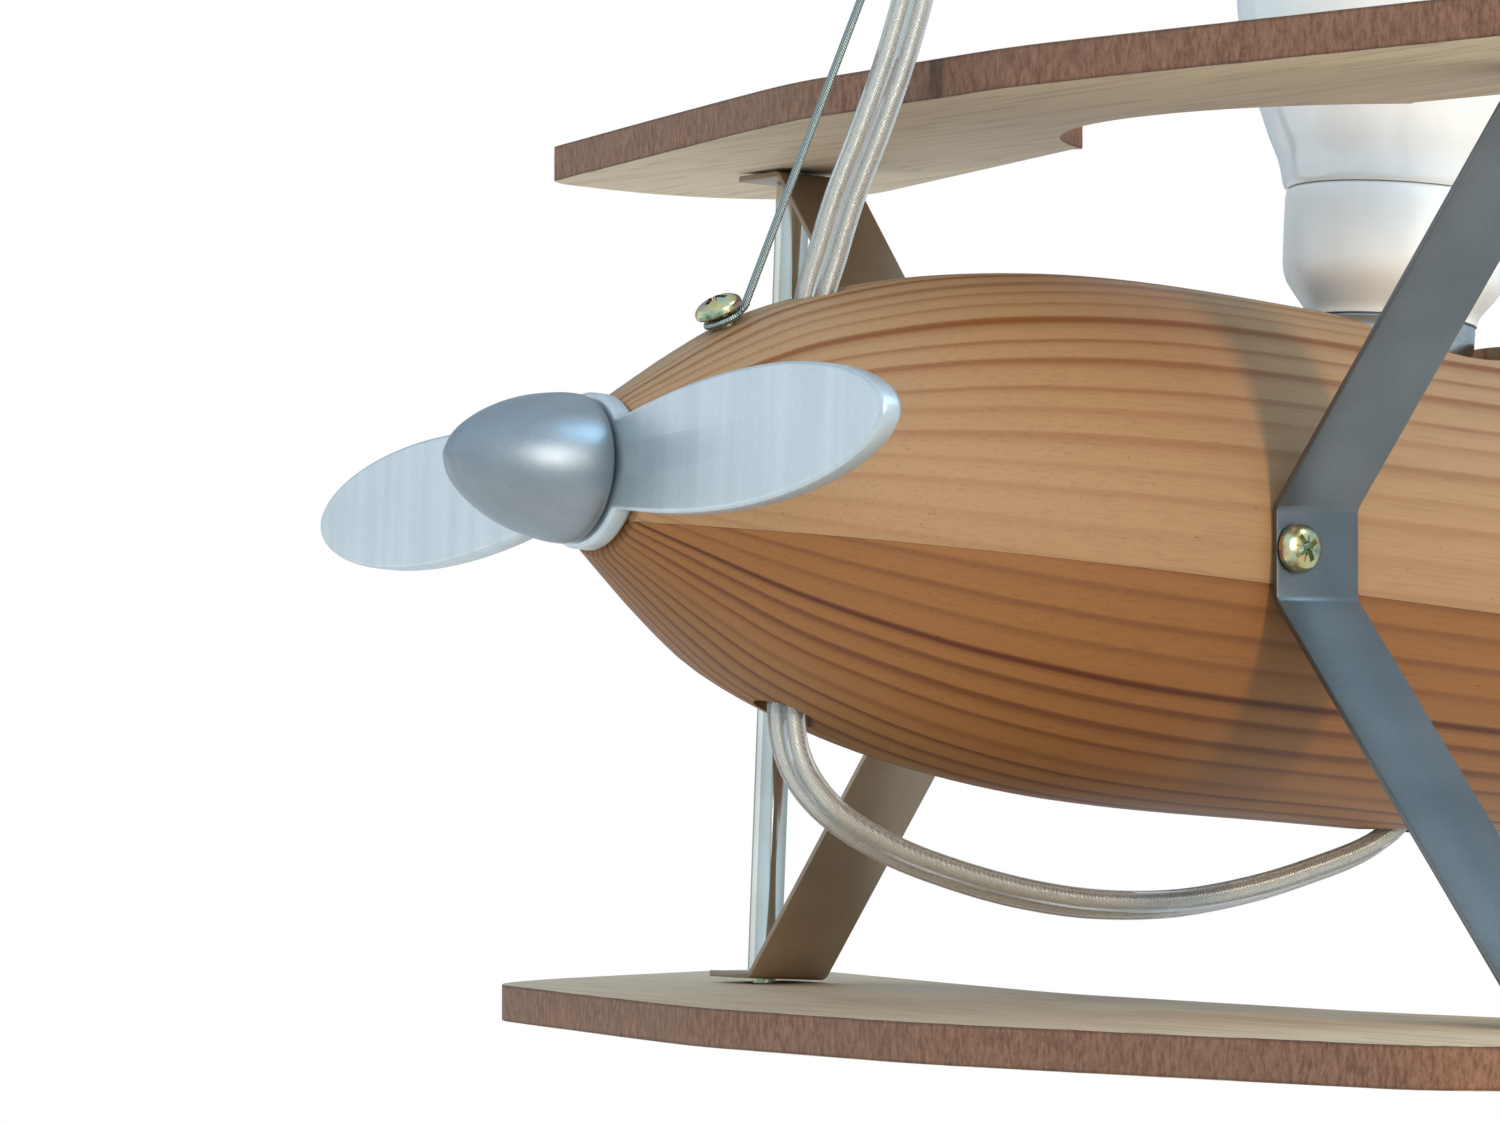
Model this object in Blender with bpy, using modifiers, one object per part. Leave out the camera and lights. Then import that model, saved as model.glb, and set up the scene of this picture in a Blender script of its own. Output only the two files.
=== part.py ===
"""Biplane pendant lamp: a turned pine fuselage hung nose-up on two wires, with a plywood wing cell.

Frame: metres, +Z up, the nose towards -Y and the port wing towards +X. The origin is the middle of the
ceiling face. Sizes below are in millimetres in the airframe's own frame, whose origin is the axis of the
two side screws that the wing cell turns on.
"""
import math

import bmesh
import bpy
from mathutils import Vector

MM = 0.001
GAP = 0.3

# Hanging
DROP = 315.0            # side screws to ceiling
HANG_SETBACK = 18.0     # ceiling hook aft of the side screws
NOSE_UP = 5.0           # degrees, fuselage against the level wings
AXIS_LIFT = 1.5         # fuselage axis above the side screws

# Fuselage: radius at stations along the axis, forward positive, nose first
NOSE_FACE = 93.8
TAIL_END = -230.0
STATIONS = [
    (93.8, 11.4), (88.0, 15.6), (80.0, 21.2), (70.0, 27.2), (55.0, 32.6), (40.0, 36.2), (20.0, 38.9),
    (0.0, 39.8), (-30.0, 39.5), (-60.0, 39.0), (-90.0, 37.0), (-120.0, 33.2), (-150.0, 27.8),
    (-180.0, 20.6), (-205.0, 13.4), (-220.0, 9.0), (-230.0, 5.0),
]
SEAM_DROP = 6.9         # glue seam below the axis at the side screws
SEAM_TILT = 0.2         # degrees, the seam rises towards the nose

# Nose
PROP_REAR = 94.3
PROP_THICKNESS = 3.4
HUB_RADIUS = 11.3
PROP_RISE = 0.7         # propeller and shaft above the fuselage axis
BLADE_REACH = 77.3
BLADE_WIDTH = 19.4
BLADE_WIDEST = 42.0
BLADE_TWIST = 4.2       # degrees that the blade line is turned from level
SPINNER_LENGTH = 22.2
SPINNER_RADIUS = 10.6
SHAFT_RADIUS = 1.5
CABLE_BORE_AT = 60.0
CABLE_BORE_RADIUS = 4.6
FRONT_SCREW_AT = 75.0
REAR_SCREW_AT = -172.0

# Wing cell
PLY = 6.0
UPPER_WING_Z = 69.2
LOWER_WING_Z = -71.0
CUTOUT_CENTRE = 48.5
CUTOUT_RADIUS = 50.0
STRIP_WIDTH = 15.0
STRIP_THICKNESS = 1.0
STRIP_FRONT = -3.5      # front edge of the strip, aft of the side screw axis
STRIP_FLAT = 6.8        # half-height of the flat against the fuselage
STRIP_DROP = -0.7
STARBOARD_LEAN = 2.5    # degrees that the starboard bracket and strut lean back at the top
STARBOARD_SHIFT = -1.35 # and how far they stand forward of the port ones
STARBOARD_BEND = 1.5    # the starboard tabs are bent up this much further in
STARBOARD_TURN = 2.6    # and its flat ends this much higher at the bottom
TAB_SLACK = (0.25, 0.5) # room that the leaning tabs need under the upper and over the lower wing
HEAD_SLACK = 0.4        # and the leaning rod's head over the upper wing
BEND_X = 97.0
TAB_END_X = 107.5
ROD_X = 102.4
TUBE_RADIUS = 2.8
TUBE_BORE = 2.3
ROD_RADIUS = 1.9

# Lamp
LAMP_AT = -47.0
WELL_RADIUS = 21.0
WELL_FLOOR = -20.0
LEAD_RADIUS = 2.9
WIRE_RADIUS = 0.6

# Ceiling rose
ROSE_RADIUS = 42.0
ROSE_DEPTH = 30.0
ROSE_TRAVEL = 15.0
GLAND_Y = -22.0
RING_Z = 238.0
RING_RADIUS = 8.0
HOOK_Z = 248.0

SUPPLY_ROUTE = [
    (0.0, -4.0, 299.0), (0.0, -4.0, 284.0), (0.0, -4.0, 268.0), (0.0, -4.1, 254.0), (0.5, -5.4, 238.0),
    (2.2, -9.4, 218.0), (4.8, -16.4, 192.0), (8.0, -25.4, 163.0), (10.6, -34.4, 134.0), (11.8, -41.2, 107.0),
    (11.3, -45.2, 88.0), (8.8, -47.9, 74.0), (6.0, -50.8, 62.5), (2.9, -53.6, 52.0), (1.2, -55.6, 43.5),
    (0.2, -57.4, 36.0), (0.0, -58.2, 24.0), (0.0, -59.8, 6.0), (0.0, -61.4, -12.0), (0.0, -62.2, -23.0),
    (0.0, -60.4, -31.5), (0.0, -54.4, -38.4), (0.0, -44.6, -43.8), (0.0, -33.6, -47.6),
    (0.0, -20.6, -50.8), (0.0, -6.7, -52.7), (0.0, 8.3, -52.8), (0.0, 23.0, -50.8), (0.0, 35.5, -47.8),
    (0.0, 44.5, -45.0), (0.0, 50.3, -41.7), (0.0, 54.3, -36.9), (0.0, 57.0, -30.9), (0.0, 58.3, -23.9),
    (0.0, 58.7, -16.7), (0.0, 58.5, -10.3),
]

UPPER_TIP = [
    (137.0, -20.2), (140.4, -16.6), (144.0, -8.0), (147.4, 2.0), (149.2, 12.0), (149.0, 21.0),
    (146.4, 29.4), (141.4, 35.0), (134.0, 38.0), (126.0, 38.2), (116.0, 36.4),
]
LOWER_TIP = [
    (116.0, -42.0), (121.4, -39.2), (127.4, -32.6), (133.6, -22.4), (139.4, -9.0), (145.2, 6.0),
    (149.6, 18.4), (151.0, 26.0), (148.4, 31.4), (142.0, 34.0), (134.0, 33.8), (116.0, 30.2),
]

COLOURS = {
    "pine_upper": (0.60, 0.36, 0.18, 0.45, 0.0),
    "pine_lower": (0.48, 0.25, 0.10, 0.45, 0.0),
    "plywood": (0.42, 0.36, 0.24, 0.55, 0.0),
    "silver_paint": (0.50, 0.56, 0.60, 0.35, 0.6),
    "steel_strip": (0.52, 0.50, 0.46, 0.35, 1.0),
    "chrome": (0.75, 0.76, 0.75, 0.12, 1.0),
    "yellow_zinc": (0.62, 0.50, 0.28, 0.25, 1.0),
    "coated_wire": (0.45, 0.48, 0.48, 0.3, 0.9),
    "clear_lead": (0.62, 0.60, 0.56, 0.25, 0.2),
    "white_plastic": (0.86, 0.86, 0.84, 0.35, 0.0),
    "opal_glass": (0.93, 0.93, 0.90, 0.25, 0.0),
    "bulb_metal": (0.70, 0.70, 0.70, 0.25, 1.0),
    "black_plastic": (0.03, 0.03, 0.03, 0.4, 0.0),
    "ceramic": (0.82, 0.80, 0.74, 0.5, 0.0),
    "brass": (0.70, 0.52, 0.22, 0.25, 1.0),
    "white_paint": (0.85, 0.85, 0.83, 0.35, 0.0),
}


def clear_scene():
    for obj in list(bpy.data.objects):
        bpy.data.objects.remove(obj)


def new_collection(name):
    collection = bpy.data.collections.new(name)
    bpy.context.scene.collection.children.link(collection)
    return collection


def make_materials():
    made = {}
    for name, (red, green, blue, roughness, metallic) in COLOURS.items():
        material = bpy.data.materials.new(name)
        material.use_nodes = True
        shader = material.node_tree.nodes["Principled BSDF"]
        shader.inputs["Base Color"].default_value = (red, green, blue, 1.0)
        shader.inputs["Roughness"].default_value = roughness
        shader.inputs["Metallic"].default_value = metallic
        made[name] = material
    return made


clear_scene()
PARTS = new_collection("biplane_pendant_lamp")
CUTTERS = new_collection("cutters")
MATERIALS = make_materials()


# ---------------------------------------------------------------- helpers

def scaled(points):
    return [tuple(MM * value for value in point) for point in points]


def empty(name, parent=None, location=(0, 0, 0), rotation=(0, 0, 0)):
    marker = bpy.data.objects.new(name, None)
    PARTS.objects.link(marker)
    place(marker, parent, location, rotation)
    return marker


def place(obj, parent, location=(0, 0, 0), rotation=(0, 0, 0)):
    obj.parent = parent
    obj.location = scaled([location])[0]
    obj.rotation_euler = [math.radians(angle) for angle in rotation]


def finish(obj, material, smooth_angle=40.0):
    """Puts the piece in the parts collection, or with no material among the cutters."""
    if material is None:
        CUTTERS.objects.link(obj)
        obj.hide_render = True
        obj.display_type = "WIRE"
        return obj
    PARTS.objects.link(obj)
    obj.data.materials.append(MATERIALS[material])
    if obj.type == "MESH":
        obj.data.shade_smooth()
        obj.data.set_sharp_from_angle(angle=math.radians(smooth_angle))
    return obj


def turned(name, profile, material, parent, location=(0, 0, 0), rotation=(0, 0, 0), steps=32, ring=False):
    """A solid of revolution about local Z from (radius, height) pairs, outer side from top to bottom."""
    mesh = bpy.data.meshes.new(name)
    vertices = [(MM * radius, 0.0, MM * height) for radius, height in profile]
    edges = [(i, i + 1) for i in range(len(profile) - 1)]
    if ring:
        edges.append((len(profile) - 1, 0))
    mesh.from_pydata(vertices, edges, [])
    obj = bpy.data.objects.new(name, mesh)
    screw = obj.modifiers.new("turn", "SCREW")
    screw.axis = "Z"
    screw.steps = steps
    screw.render_steps = steps
    screw.use_merge_vertices = True
    screw.merge_threshold = 0.000001
    screw.use_smooth_shade = True
    place(obj, parent, location, rotation)
    return finish(obj, material)


def sleeve(name, outer, inner, low, high, material, parent, location=(0, 0, 0), rotation=(0, 0, 0), steps=24):
    profile = [(outer, high), (outer, low), (inner, low), (inner, high)]
    return turned(name, profile, material, parent, location, rotation, steps, ring=True)


def rod(name, radius, low, high, material, parent, location=(0, 0, 0), rotation=(0, 0, 0), steps=20):
    profile = [(0.0, high), (radius, high), (radius, low), (0.0, low)]
    return turned(name, profile, material, parent, location, rotation, steps)


def circle(radius, count=20, centre=(0.0, 0.0)):
    angles = [2 * math.pi * i / count for i in range(count)]
    return [(centre[0] + radius * math.cos(a), centre[1] + radius * math.sin(a)) for a in angles]


def plate(name, outlines, thickness, material, parent, location=(0, 0, 0), rotation=(0, 0, 0), edge=0.0):
    """A flat piece in local XY, centred on its plane: the first outline is the rim, the others are holes."""
    curve = bpy.data.curves.new(name, "CURVE")
    curve.dimensions = "2D"
    curve.fill_mode = "BOTH"
    curve.extrude = MM * (thickness / 2 - edge)
    curve.bevel_depth = MM * edge
    curve.bevel_resolution = 1
    curve.offset = -MM * edge
    for outline in outlines:
        spline = curve.splines.new("POLY")
        spline.points.add(len(outline) - 1)
        for point, (x, y) in zip(spline.points, outline):
            point.co = (MM * x, MM * y, 0.0, 1.0)
        spline.use_cyclic_u = True
    guide = bpy.data.objects.new(name, curve)
    bpy.context.scene.collection.objects.link(guide)
    bpy.context.view_layer.update()
    mesh = bpy.data.meshes.new_from_object(guide.evaluated_get(bpy.context.evaluated_depsgraph_get()))
    bpy.data.objects.remove(guide)
    mesh.name = name
    weld(mesh)
    obj = bpy.data.objects.new(name, mesh)
    place(obj, parent, location, rotation)
    return finish(obj, material)


def weld(mesh):
    work = bmesh.new()
    work.from_mesh(mesh)
    bmesh.ops.remove_doubles(work, verts=work.verts, dist=0.000002)
    bmesh.ops.recalc_face_normals(work, faces=work.faces)
    work.to_mesh(mesh)
    work.free()
    mesh.materials.clear()


def block(name, size, material, parent, location=(0, 0, 0), rotation=(0, 0, 0), bevel=0.0):
    mesh = bpy.data.meshes.new(name)
    work = bmesh.new()
    bmesh.ops.create_cube(work, size=1.0)
    bmesh.ops.scale(work, vec=[MM * side for side in size], verts=work.verts)
    if bevel:
        bmesh.ops.bevel(work, geom=work.edges, offset=MM * bevel, segments=2, affect="EDGES", profile=0.5)
    work.to_mesh(mesh)
    work.free()
    obj = bpy.data.objects.new(name, mesh)
    place(obj, parent, location, rotation)
    return finish(obj, material)


def wire(name, points, radius, material, parent, resolution=2):
    """A round wire or lead along points, on a POLY spline with filled caps."""
    curve = bpy.data.curves.new(name, "CURVE")
    curve.dimensions = "3D"
    curve.bevel_depth = MM * radius
    curve.bevel_resolution = resolution
    curve.use_fill_caps = True
    spline = curve.splines.new("POLY")
    spline.points.add(len(points) - 1)
    for point, position in zip(spline.points, points):
        point.co = (*[MM * value for value in position], 1.0)
    spline.use_smooth = True
    obj = bpy.data.objects.new(name, curve)
    place(obj, parent)
    return finish(obj, material)


def cut(obj, *tools):
    for tool in tools:
        modifier = obj.modifiers.new(tool.name, "BOOLEAN")
        modifier.operation = "DIFFERENCE"
        modifier.solver = "EXACT"
        modifier.object = tool


def smooth_route(route, spacing):
    """Points at an even spacing along a Catmull-Rom curve through the route."""
    knots = [Vector(point) for point in route]
    knots = [2 * knots[0] - knots[1]] + knots + [2 * knots[-1] - knots[-2]]
    fine = []
    for a, b, c, d in zip(knots, knots[1:], knots[2:], knots[3:]):
        for step in range(16):
            t = step / 16
            fine.append(0.5 * (2 * b + (c - a) * t + (2 * a - 5 * b + 4 * c - d) * t * t
                               + (3 * b - a - 3 * c + d) * t ** 3))
    fine.append(knots[-2])
    length = sum((q - p).length for p, q in zip(fine, fine[1:]))
    count = max(2, round(length / spacing))
    picked = [fine[0]]
    walked = 0.0
    for p, q in zip(fine, fine[1:]):
        walked += (q - p).length
        if walked >= length * len(picked) / count - 1e-6 and len(picked) < count:
            picked.append(q)
    picked.append(fine[-1])
    return [tuple(point) for point in picked]


def fuselage_radius(station):
    """Radius at a station, from a smooth curve through STATIONS."""
    knots = STATIONS
    for i in range(len(knots) - 1):
        (s1, r1), (s2, r2) = knots[i], knots[i + 1]
        if s1 >= station >= s2:
            s0, r0 = knots[max(i - 1, 0)]
            s3, r3 = knots[min(i + 2, len(knots) - 1)]
            m1 = (r2 - r0) / (s2 - s0)
            m2 = (r3 - r1) / (s3 - s1)
            h = s2 - s1
            t = (station - s1) / h
            return ((2 * t ** 3 - 3 * t ** 2 + 1) * r1 + (t ** 3 - 2 * t ** 2 + t) * h * m1
                    + (3 * t ** 2 - 2 * t ** 3) * r2 + (t ** 3 - t ** 2) * h * m2)
    return 0.0


def pan_screw(name, material, parent, location, rotation, seat, tip, shank=1.75, head=3.6, height=2.5):
    """A pan-head screw along local Z: its head stands on seat and its point is at tip."""
    dome = [(head * math.sin(math.radians(a)), seat + 0.9 + (height - 0.9) * math.cos(math.radians(a)))
            for a in (0, 25, 50, 72, 90)]
    profile = dome + [(head, seat), (shank, seat), (shank, tip + 4.0), (0.0, tip)]
    return turned(name, profile, material, parent, location, rotation, 24)


# ---------------------------------------------------------------- fuselage

def make_fuselage(axis, hanger):
    stations = [NOSE_FACE, 91.0, 88.0, 84.0, 80.0, 75.0, 70.0, 63.0, 55.0, 47.0, 40.0, 30.0, 20.0, 5.0]
    stations += [-10.0, -30.0, -60.0, -90.0, -105.0, -120.0, -135.0, -150.0, -165.0, -180.0, -193.0, -205.0]
    stations += [-220.0, TAIL_END]
    body = [(fuselage_radius(s), s) for s in stations]
    profile = [(0.0, NOSE_FACE), (body[0][0] - 0.8, NOSE_FACE), (body[0][0], NOSE_FACE - 0.8)] + body[1:]
    profile += [(3.0, TAIL_END - 1.4), (0.0, TAIL_END - 2.0)]
    seam_offset = (0.0, -SEAM_DROP, 0.0)
    upper = turned("fuselage_upper", profile, "pine_upper", axis, steps=40)
    lower = turned("fuselage_lower", profile, "pine_lower", axis, steps=40)
    half = 60.0
    seam = empty("seam_plane", axis, seam_offset, (-SEAM_TILT, 0, 0))
    below = block("below_seam", (100, 2 * half, 420), None, seam, (0, -half + GAP / 2, -70))
    above = block("above_seam", (100, 2 * half, 420), None, seam, (0, half - GAP / 2, -70))
    shaft_bore = rod("shaft_bore", SHAFT_RADIUS + GAP, 70.0, 110.0, None, axis, (0, PROP_RISE, 0))
    lead_bore = rod("lead_bore", CABLE_BORE_RADIUS, -60.0, 60.0, None, axis, (0, 0, CABLE_BORE_AT), (90, 0, 0), 24)
    well = rod("lamp_well", WELL_RADIUS, WELL_FLOOR, 60.0, None, axis, (0, 0, LAMP_AT), (-90, 0, 0), 40)
    feed = rod("feed_bore", 5.5, -14.0, 30.0, None, hanger, (0.0, 50.5, -41.3), (-29.0, 0, 0), 20)
    side = rod("side_bore", 2.05, -60.0, 60.0, None, hanger, (0, 0, 0), (0, 90, 0), 16)
    front = rod("front_screw_bore", 1.9, -22.0, 5.0, None, *screw_seat(axis, FRONT_SCREW_AT), 16)
    rear = rod("rear_screw_bore", 1.9, -13.0, 5.0, None, *screw_seat(axis, REAR_SCREW_AT), 16)
    tail_slot = block("tail_slot", (90, PLY + 2 * GAP, 60), None, axis, (0, 0, -189.0 - 30.0))
    fin_slot = block("fin_slot", (PLY + 2 * GAP, 40, 70), None, axis, (0, 24.6, -183.0 - 35.0))
    cut(upper, below, shaft_bore, lead_bore, well, feed, side, front, rear, tail_slot, fin_slot)
    cut(lower, above, lead_bore, well, feed)


def screw_seat(axis, station):
    """Parent, place and turn of a screw that stands square on the fuselage's top at a station."""
    slope = (fuselage_radius(station + 2) - fuselage_radius(station - 2)) / 4
    lean = math.degrees(math.atan(slope))
    return axis, (0, fuselage_radius(station), station), (-90 - lean, 0, 0)


def make_tail(axis):
    edge = 0.8
    tailplane = [(0, -190.2), (14, -190.2), (34, -193), (48, -198), (55, -205), (57.5, -214), (55, -224)]
    tailplane += [(47, -231), (34, -234), (14, -235), (0, -235)]
    outline = tailplane + [(-x, s) for x, s in reversed(tailplane[1:-1])]
    plate("tailplane", [outline], PLY, "plywood", axis, (0, 0, 0), (90, 0, 0), edge)
    fin = [(-186.0, 19.4), (-190.0, 28.0), (-197.0, 40.0), (-205.0, 49.0), (-215.0, 54.0), (-226.0, 54.5)]
    fin += [(-233.0, 50.0), (-236.0, 42.0), (-236.0, 5.0), (-186.0, 5.0)]
    plate("fin", [fin], PLY, "plywood", axis, (0, 0, 0), (0, -90, 0), edge)


# ---------------------------------------------------------------- nose

def blade_half_width(radius):
    if radius < BLADE_WIDEST:
        return BLADE_WIDTH / 2 - 0.00302 * (BLADE_WIDEST - radius) ** 2
    reach = (radius - BLADE_WIDEST) / (BLADE_REACH - BLADE_WIDEST)
    return BLADE_WIDTH / 2 * math.sqrt(max(0.0, 1 - reach * reach))


def propeller_outline():
    radii = [10.0, 16.0, 23.0, 30.0, 36.0, 42.0, 48.0, 54.0, 60.0, 65.0, 69.0, 72.4, 75.0, 76.6, BLADE_REACH]
    edge = [(r, blade_half_width(r)) for r in radii]
    blade = [(r, -w) for r, w in edge] + [(r, w) for r, w in reversed(edge[:-1])]
    start = math.degrees(math.atan2(blade_half_width(10.0), 10.0)) + 8
    arc = [math.radians(start + (180 - 2 * start) * i / 8) for i in range(9)]
    crown = [(HUB_RADIUS * math.cos(a), HUB_RADIUS * math.sin(a)) for a in arc]
    half = blade + crown
    return half + [(-x, -y) for x, y in half]


def make_nose(axis):
    mid = PROP_REAR + PROP_THICKNESS / 2
    turn = empty("propeller_axis", axis, (0, PROP_RISE, mid), (0, 0, BLADE_TWIST))
    holes = circle(SHAFT_RADIUS + GAP, 16)
    plate("propeller", [propeller_outline(), holes], PROP_THICKNESS, "silver_paint", turn, edge=0.5)
    base = PROP_THICKNESS / 2 + GAP
    ogive = [(0.0, 22.2), (0.9, 21.9), (1.8, 21.4), (3.4, 20.4), (4.7, 19.2), (6.1, 17.4), (7.3, 15.4)]
    ogive += [(8.6, 12.8), (9.6, 10.0), (10.3, 7.0), (10.7, 4.2), (10.8, 2.0), (SPINNER_RADIUS, 0.5)]
    stretch = SPINNER_LENGTH / 22.2
    profile = [(r, base + h * stretch) for r, h in ogive]
    bore = SHAFT_RADIUS + GAP
    profile += [(10.2, base), (bore, base), (bore, base + 12.0), (0.0, base + 12.0)]
    turned("spinner", profile, "silver_paint", turn, steps=32)
    shaft_end = PROP_REAR + PROP_THICKNESS + 10.0
    rod("propeller_shaft", SHAFT_RADIUS, 72.0, shaft_end, "steel_strip", axis, (0, PROP_RISE, 0))


def make_hang_screws(axis):
    for name, station, tip in (("front_hang_screw", FRONT_SCREW_AT, -20.0), ("rear_hang_screw", REAR_SCREW_AT, -11.0)):
        parent, location, rotation = screw_seat(axis, station)
        pan_screw(name, "yellow_zinc", parent, location, rotation, 2.0, tip, shank=1.6)


# ---------------------------------------------------------------- wing cell

def leading_edge(x, centre):
    """The wings' front edge: straight in the middle and swept back beyond it, with a soft bend between."""
    beyond = max(0.0, abs(x) - 22.0)
    return centre + 0.21 * (math.hypot(beyond, 12.0) - 12.0)


def rear_edge(x, x1, y1, slope, flat, soft=14.0):
    beyond = max(0.0, abs(x) - flat)
    start = y1 - slope * (math.hypot(x1 - flat, soft) - soft)
    return start + slope * (math.hypot(beyond, soft) - soft)


def wing_outline(centre, tip, middle):
    """Half the outline runs out along the front, round the tip and in along the back, then is mirrored."""
    front = [(x, leading_edge(x, centre)) for x in (22, 32, 42, 56, 76, 100)]
    half = [(x, y) for x, y in front if x < tip[0][0] - 6] + tip + middle
    return half + [(-x, y) for x, y in reversed(half) if x > 0.01]


def cutout():
    """The round bay in the upper wing's rear edge that clears the bulb."""
    start = 33.0
    return [(CUTOUT_RADIUS * math.cos(math.radians(a)), CUTOUT_CENTRE - CUTOUT_RADIUS * math.sin(math.radians(a)))
            for a in [start + (90 - start) * i / 7 for i in range(8)]]


def make_wings(cell):
    corner = [(43.2, 20.4)]
    upper = wing_outline(-42.0, UPPER_TIP, corner + cutout())
    lower_back = [(x, rear_edge(x, 116.0, 30.2, 0.2, 30.0)) for x in (90, 64, 46, 34, 22)]
    lower = wing_outline(-59.5, LOWER_TIP, lower_back)
    for name, outline, level in (("upper_wing", upper, UPPER_WING_Z), ("lower_wing", lower, LOWER_WING_Z)):
        holes = [circle(ROD_RADIUS + GAP, 14, (side * ROD_X, rod_setback(side, level))) for side in (1, -1)]
        plate(name, [outline] + holes, PLY, "plywood", cell, (0, 0, level), edge=0.3)


def rod_setback(side, level):
    """How far aft of the side screws a tie rod stands at a level."""
    middle = STRIP_FRONT + STRIP_WIDTH / 2
    if side > 0:
        return middle
    return middle + STARBOARD_SHIFT + level * math.tan(math.radians(STARBOARD_LEAN))


def offset_strip(line, thickness):
    """The outline of a bent strip of even thickness about a centre line, with mitred bends."""
    sides = ([], [])
    for i, (x, z) in enumerate(line):
        before = Vector(line[max(i - 1, 0)])
        after = Vector(line[min(i + 1, len(line) - 1)])
        here = Vector((x, z))
        first = (here - before).normalized() if i else (after - here).normalized()
        last = (after - here).normalized() if i < len(line) - 1 else first
        mean = (first + last).normalized()
        normal = Vector((-mean.y, mean.x))
        reach = thickness / 2 / max(0.3, mean.dot(first))
        for side, sign in zip(sides, (1, -1)):
            point = here + sign * reach * normal
            side.append((point.x, point.y))
    return sides[0] + list(reversed(sides[1]))


def make_bracket(cell, skewed, name, side):
    half = STRIP_THICKNESS / 2
    inner = fuselage_radius(0.0) + GAP + half
    slack = (0.0, 0.0) if side > 0 else TAB_SLACK
    bend_x = BEND_X if side > 0 else BEND_X - STARBOARD_BEND
    turn = STRIP_DROP - STRIP_FLAT + (0.0 if side > 0 else STARBOARD_TURN)
    top = UPPER_WING_Z - PLY / 2 - GAP - half - slack[0]
    bottom = LOWER_WING_Z + PLY / 2 + GAP + half + slack[1]
    bend = 1.2
    line = [(TAB_END_X, top), (bend_x + bend, top), (bend_x - bend * 0.6, top - bend * 0.7)]
    line += [(inner + bend * 0.7, STRIP_DROP + STRIP_FLAT + bend * 0.8), (inner, STRIP_DROP + STRIP_FLAT - bend * 0.4)]
    line += [(inner, turn + bend * 0.4), (inner + bend * 0.7, turn - bend * 0.8)]
    line += [(bend_x - bend * 0.6, bottom + bend * 0.7), (bend_x + bend, bottom), (TAB_END_X, bottom)]
    outline = offset_strip([(side * x, z) for x, z in line], STRIP_THICKNESS)
    middle = STRIP_FRONT + STRIP_WIDTH / 2
    strip = plate(name, [outline], STRIP_WIDTH, "steel_strip", skewed, (0, middle, 0), (90, 0, 0))
    screw_hole = rod(name + "_screw_hole", 2.1, 30.0, 60.0, None, cell, (0, 0, 0), (0, side * 90, 0), 16)
    foot = (side * ROD_X, middle, 0)
    rod_hole = rod(name + "_rod_hole", ROD_RADIUS + GAP, -90.0, 90.0, None, skewed, foot, (0, 0, 0), 16)
    cut(strip, screw_hole, rod_hole)


def hexagon(across_flats):
    return circle(across_flats / math.sqrt(3), 6)


def make_strut(skewed, word, side):
    at = (side * ROD_X, STRIP_FRONT + STRIP_WIDTH / 2, 0)
    slack = (0.0, 0.0) if side > 0 else TAB_SLACK
    top = UPPER_WING_Z - PLY / 2 - 2 * GAP - STRIP_THICKNESS - slack[0]
    bottom = LOWER_WING_Z + PLY / 2 + 2 * GAP + STRIP_THICKNESS + slack[1]
    sleeve("strut_tube_" + word, TUBE_RADIUS, TUBE_BORE, bottom, top, "chrome", skewed, at)
    seat = UPPER_WING_Z + PLY / 2 + GAP + (0.0 if side > 0 else HEAD_SLACK)
    nut_mid = LOWER_WING_Z - PLY / 2 - GAP - 1.6
    end = nut_mid - 1.5
    head = 3.6
    profile = [(0.0, seat + 2.3), (1.6, seat + 2.2), (2.8, seat + 1.7), (head, seat + 0.8), (head, seat)]
    profile += [(ROD_RADIUS, seat), (ROD_RADIUS, end + 0.5), (ROD_RADIUS - 0.5, end), (0.0, end)]
    turned("tie_rod_" + word, profile, "yellow_zinc", skewed, at, steps=20)
    nut = (at[0], at[1], nut_mid)
    plate("rod_nut_" + word, [hexagon(7.0), circle(ROD_RADIUS + GAP, 14)], 3.2, "yellow_zinc", skewed, nut)


def make_wing_cell(hanger):
    cell = empty("wing_cell_axis", hanger)
    make_wings(cell)
    seat = fuselage_radius(0.0) + 2 * GAP + STRIP_THICKNESS
    leaning = empty("starboard_skew", cell, (0, STARBOARD_SHIFT, 0), (-STARBOARD_LEAN, 0, 0))
    for word, side, skewed in (("port", 1, cell), ("starboard", -1, leaning)):
        make_bracket(cell, skewed, "bracket_" + word, side)
        make_strut(skewed, word, side)
        pan_screw("side_screw_" + word, "yellow_zinc", hanger, (0, 0, 0), (0, side * 90, 0), seat, 18.0)


# ---------------------------------------------------------------- lamp

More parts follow.
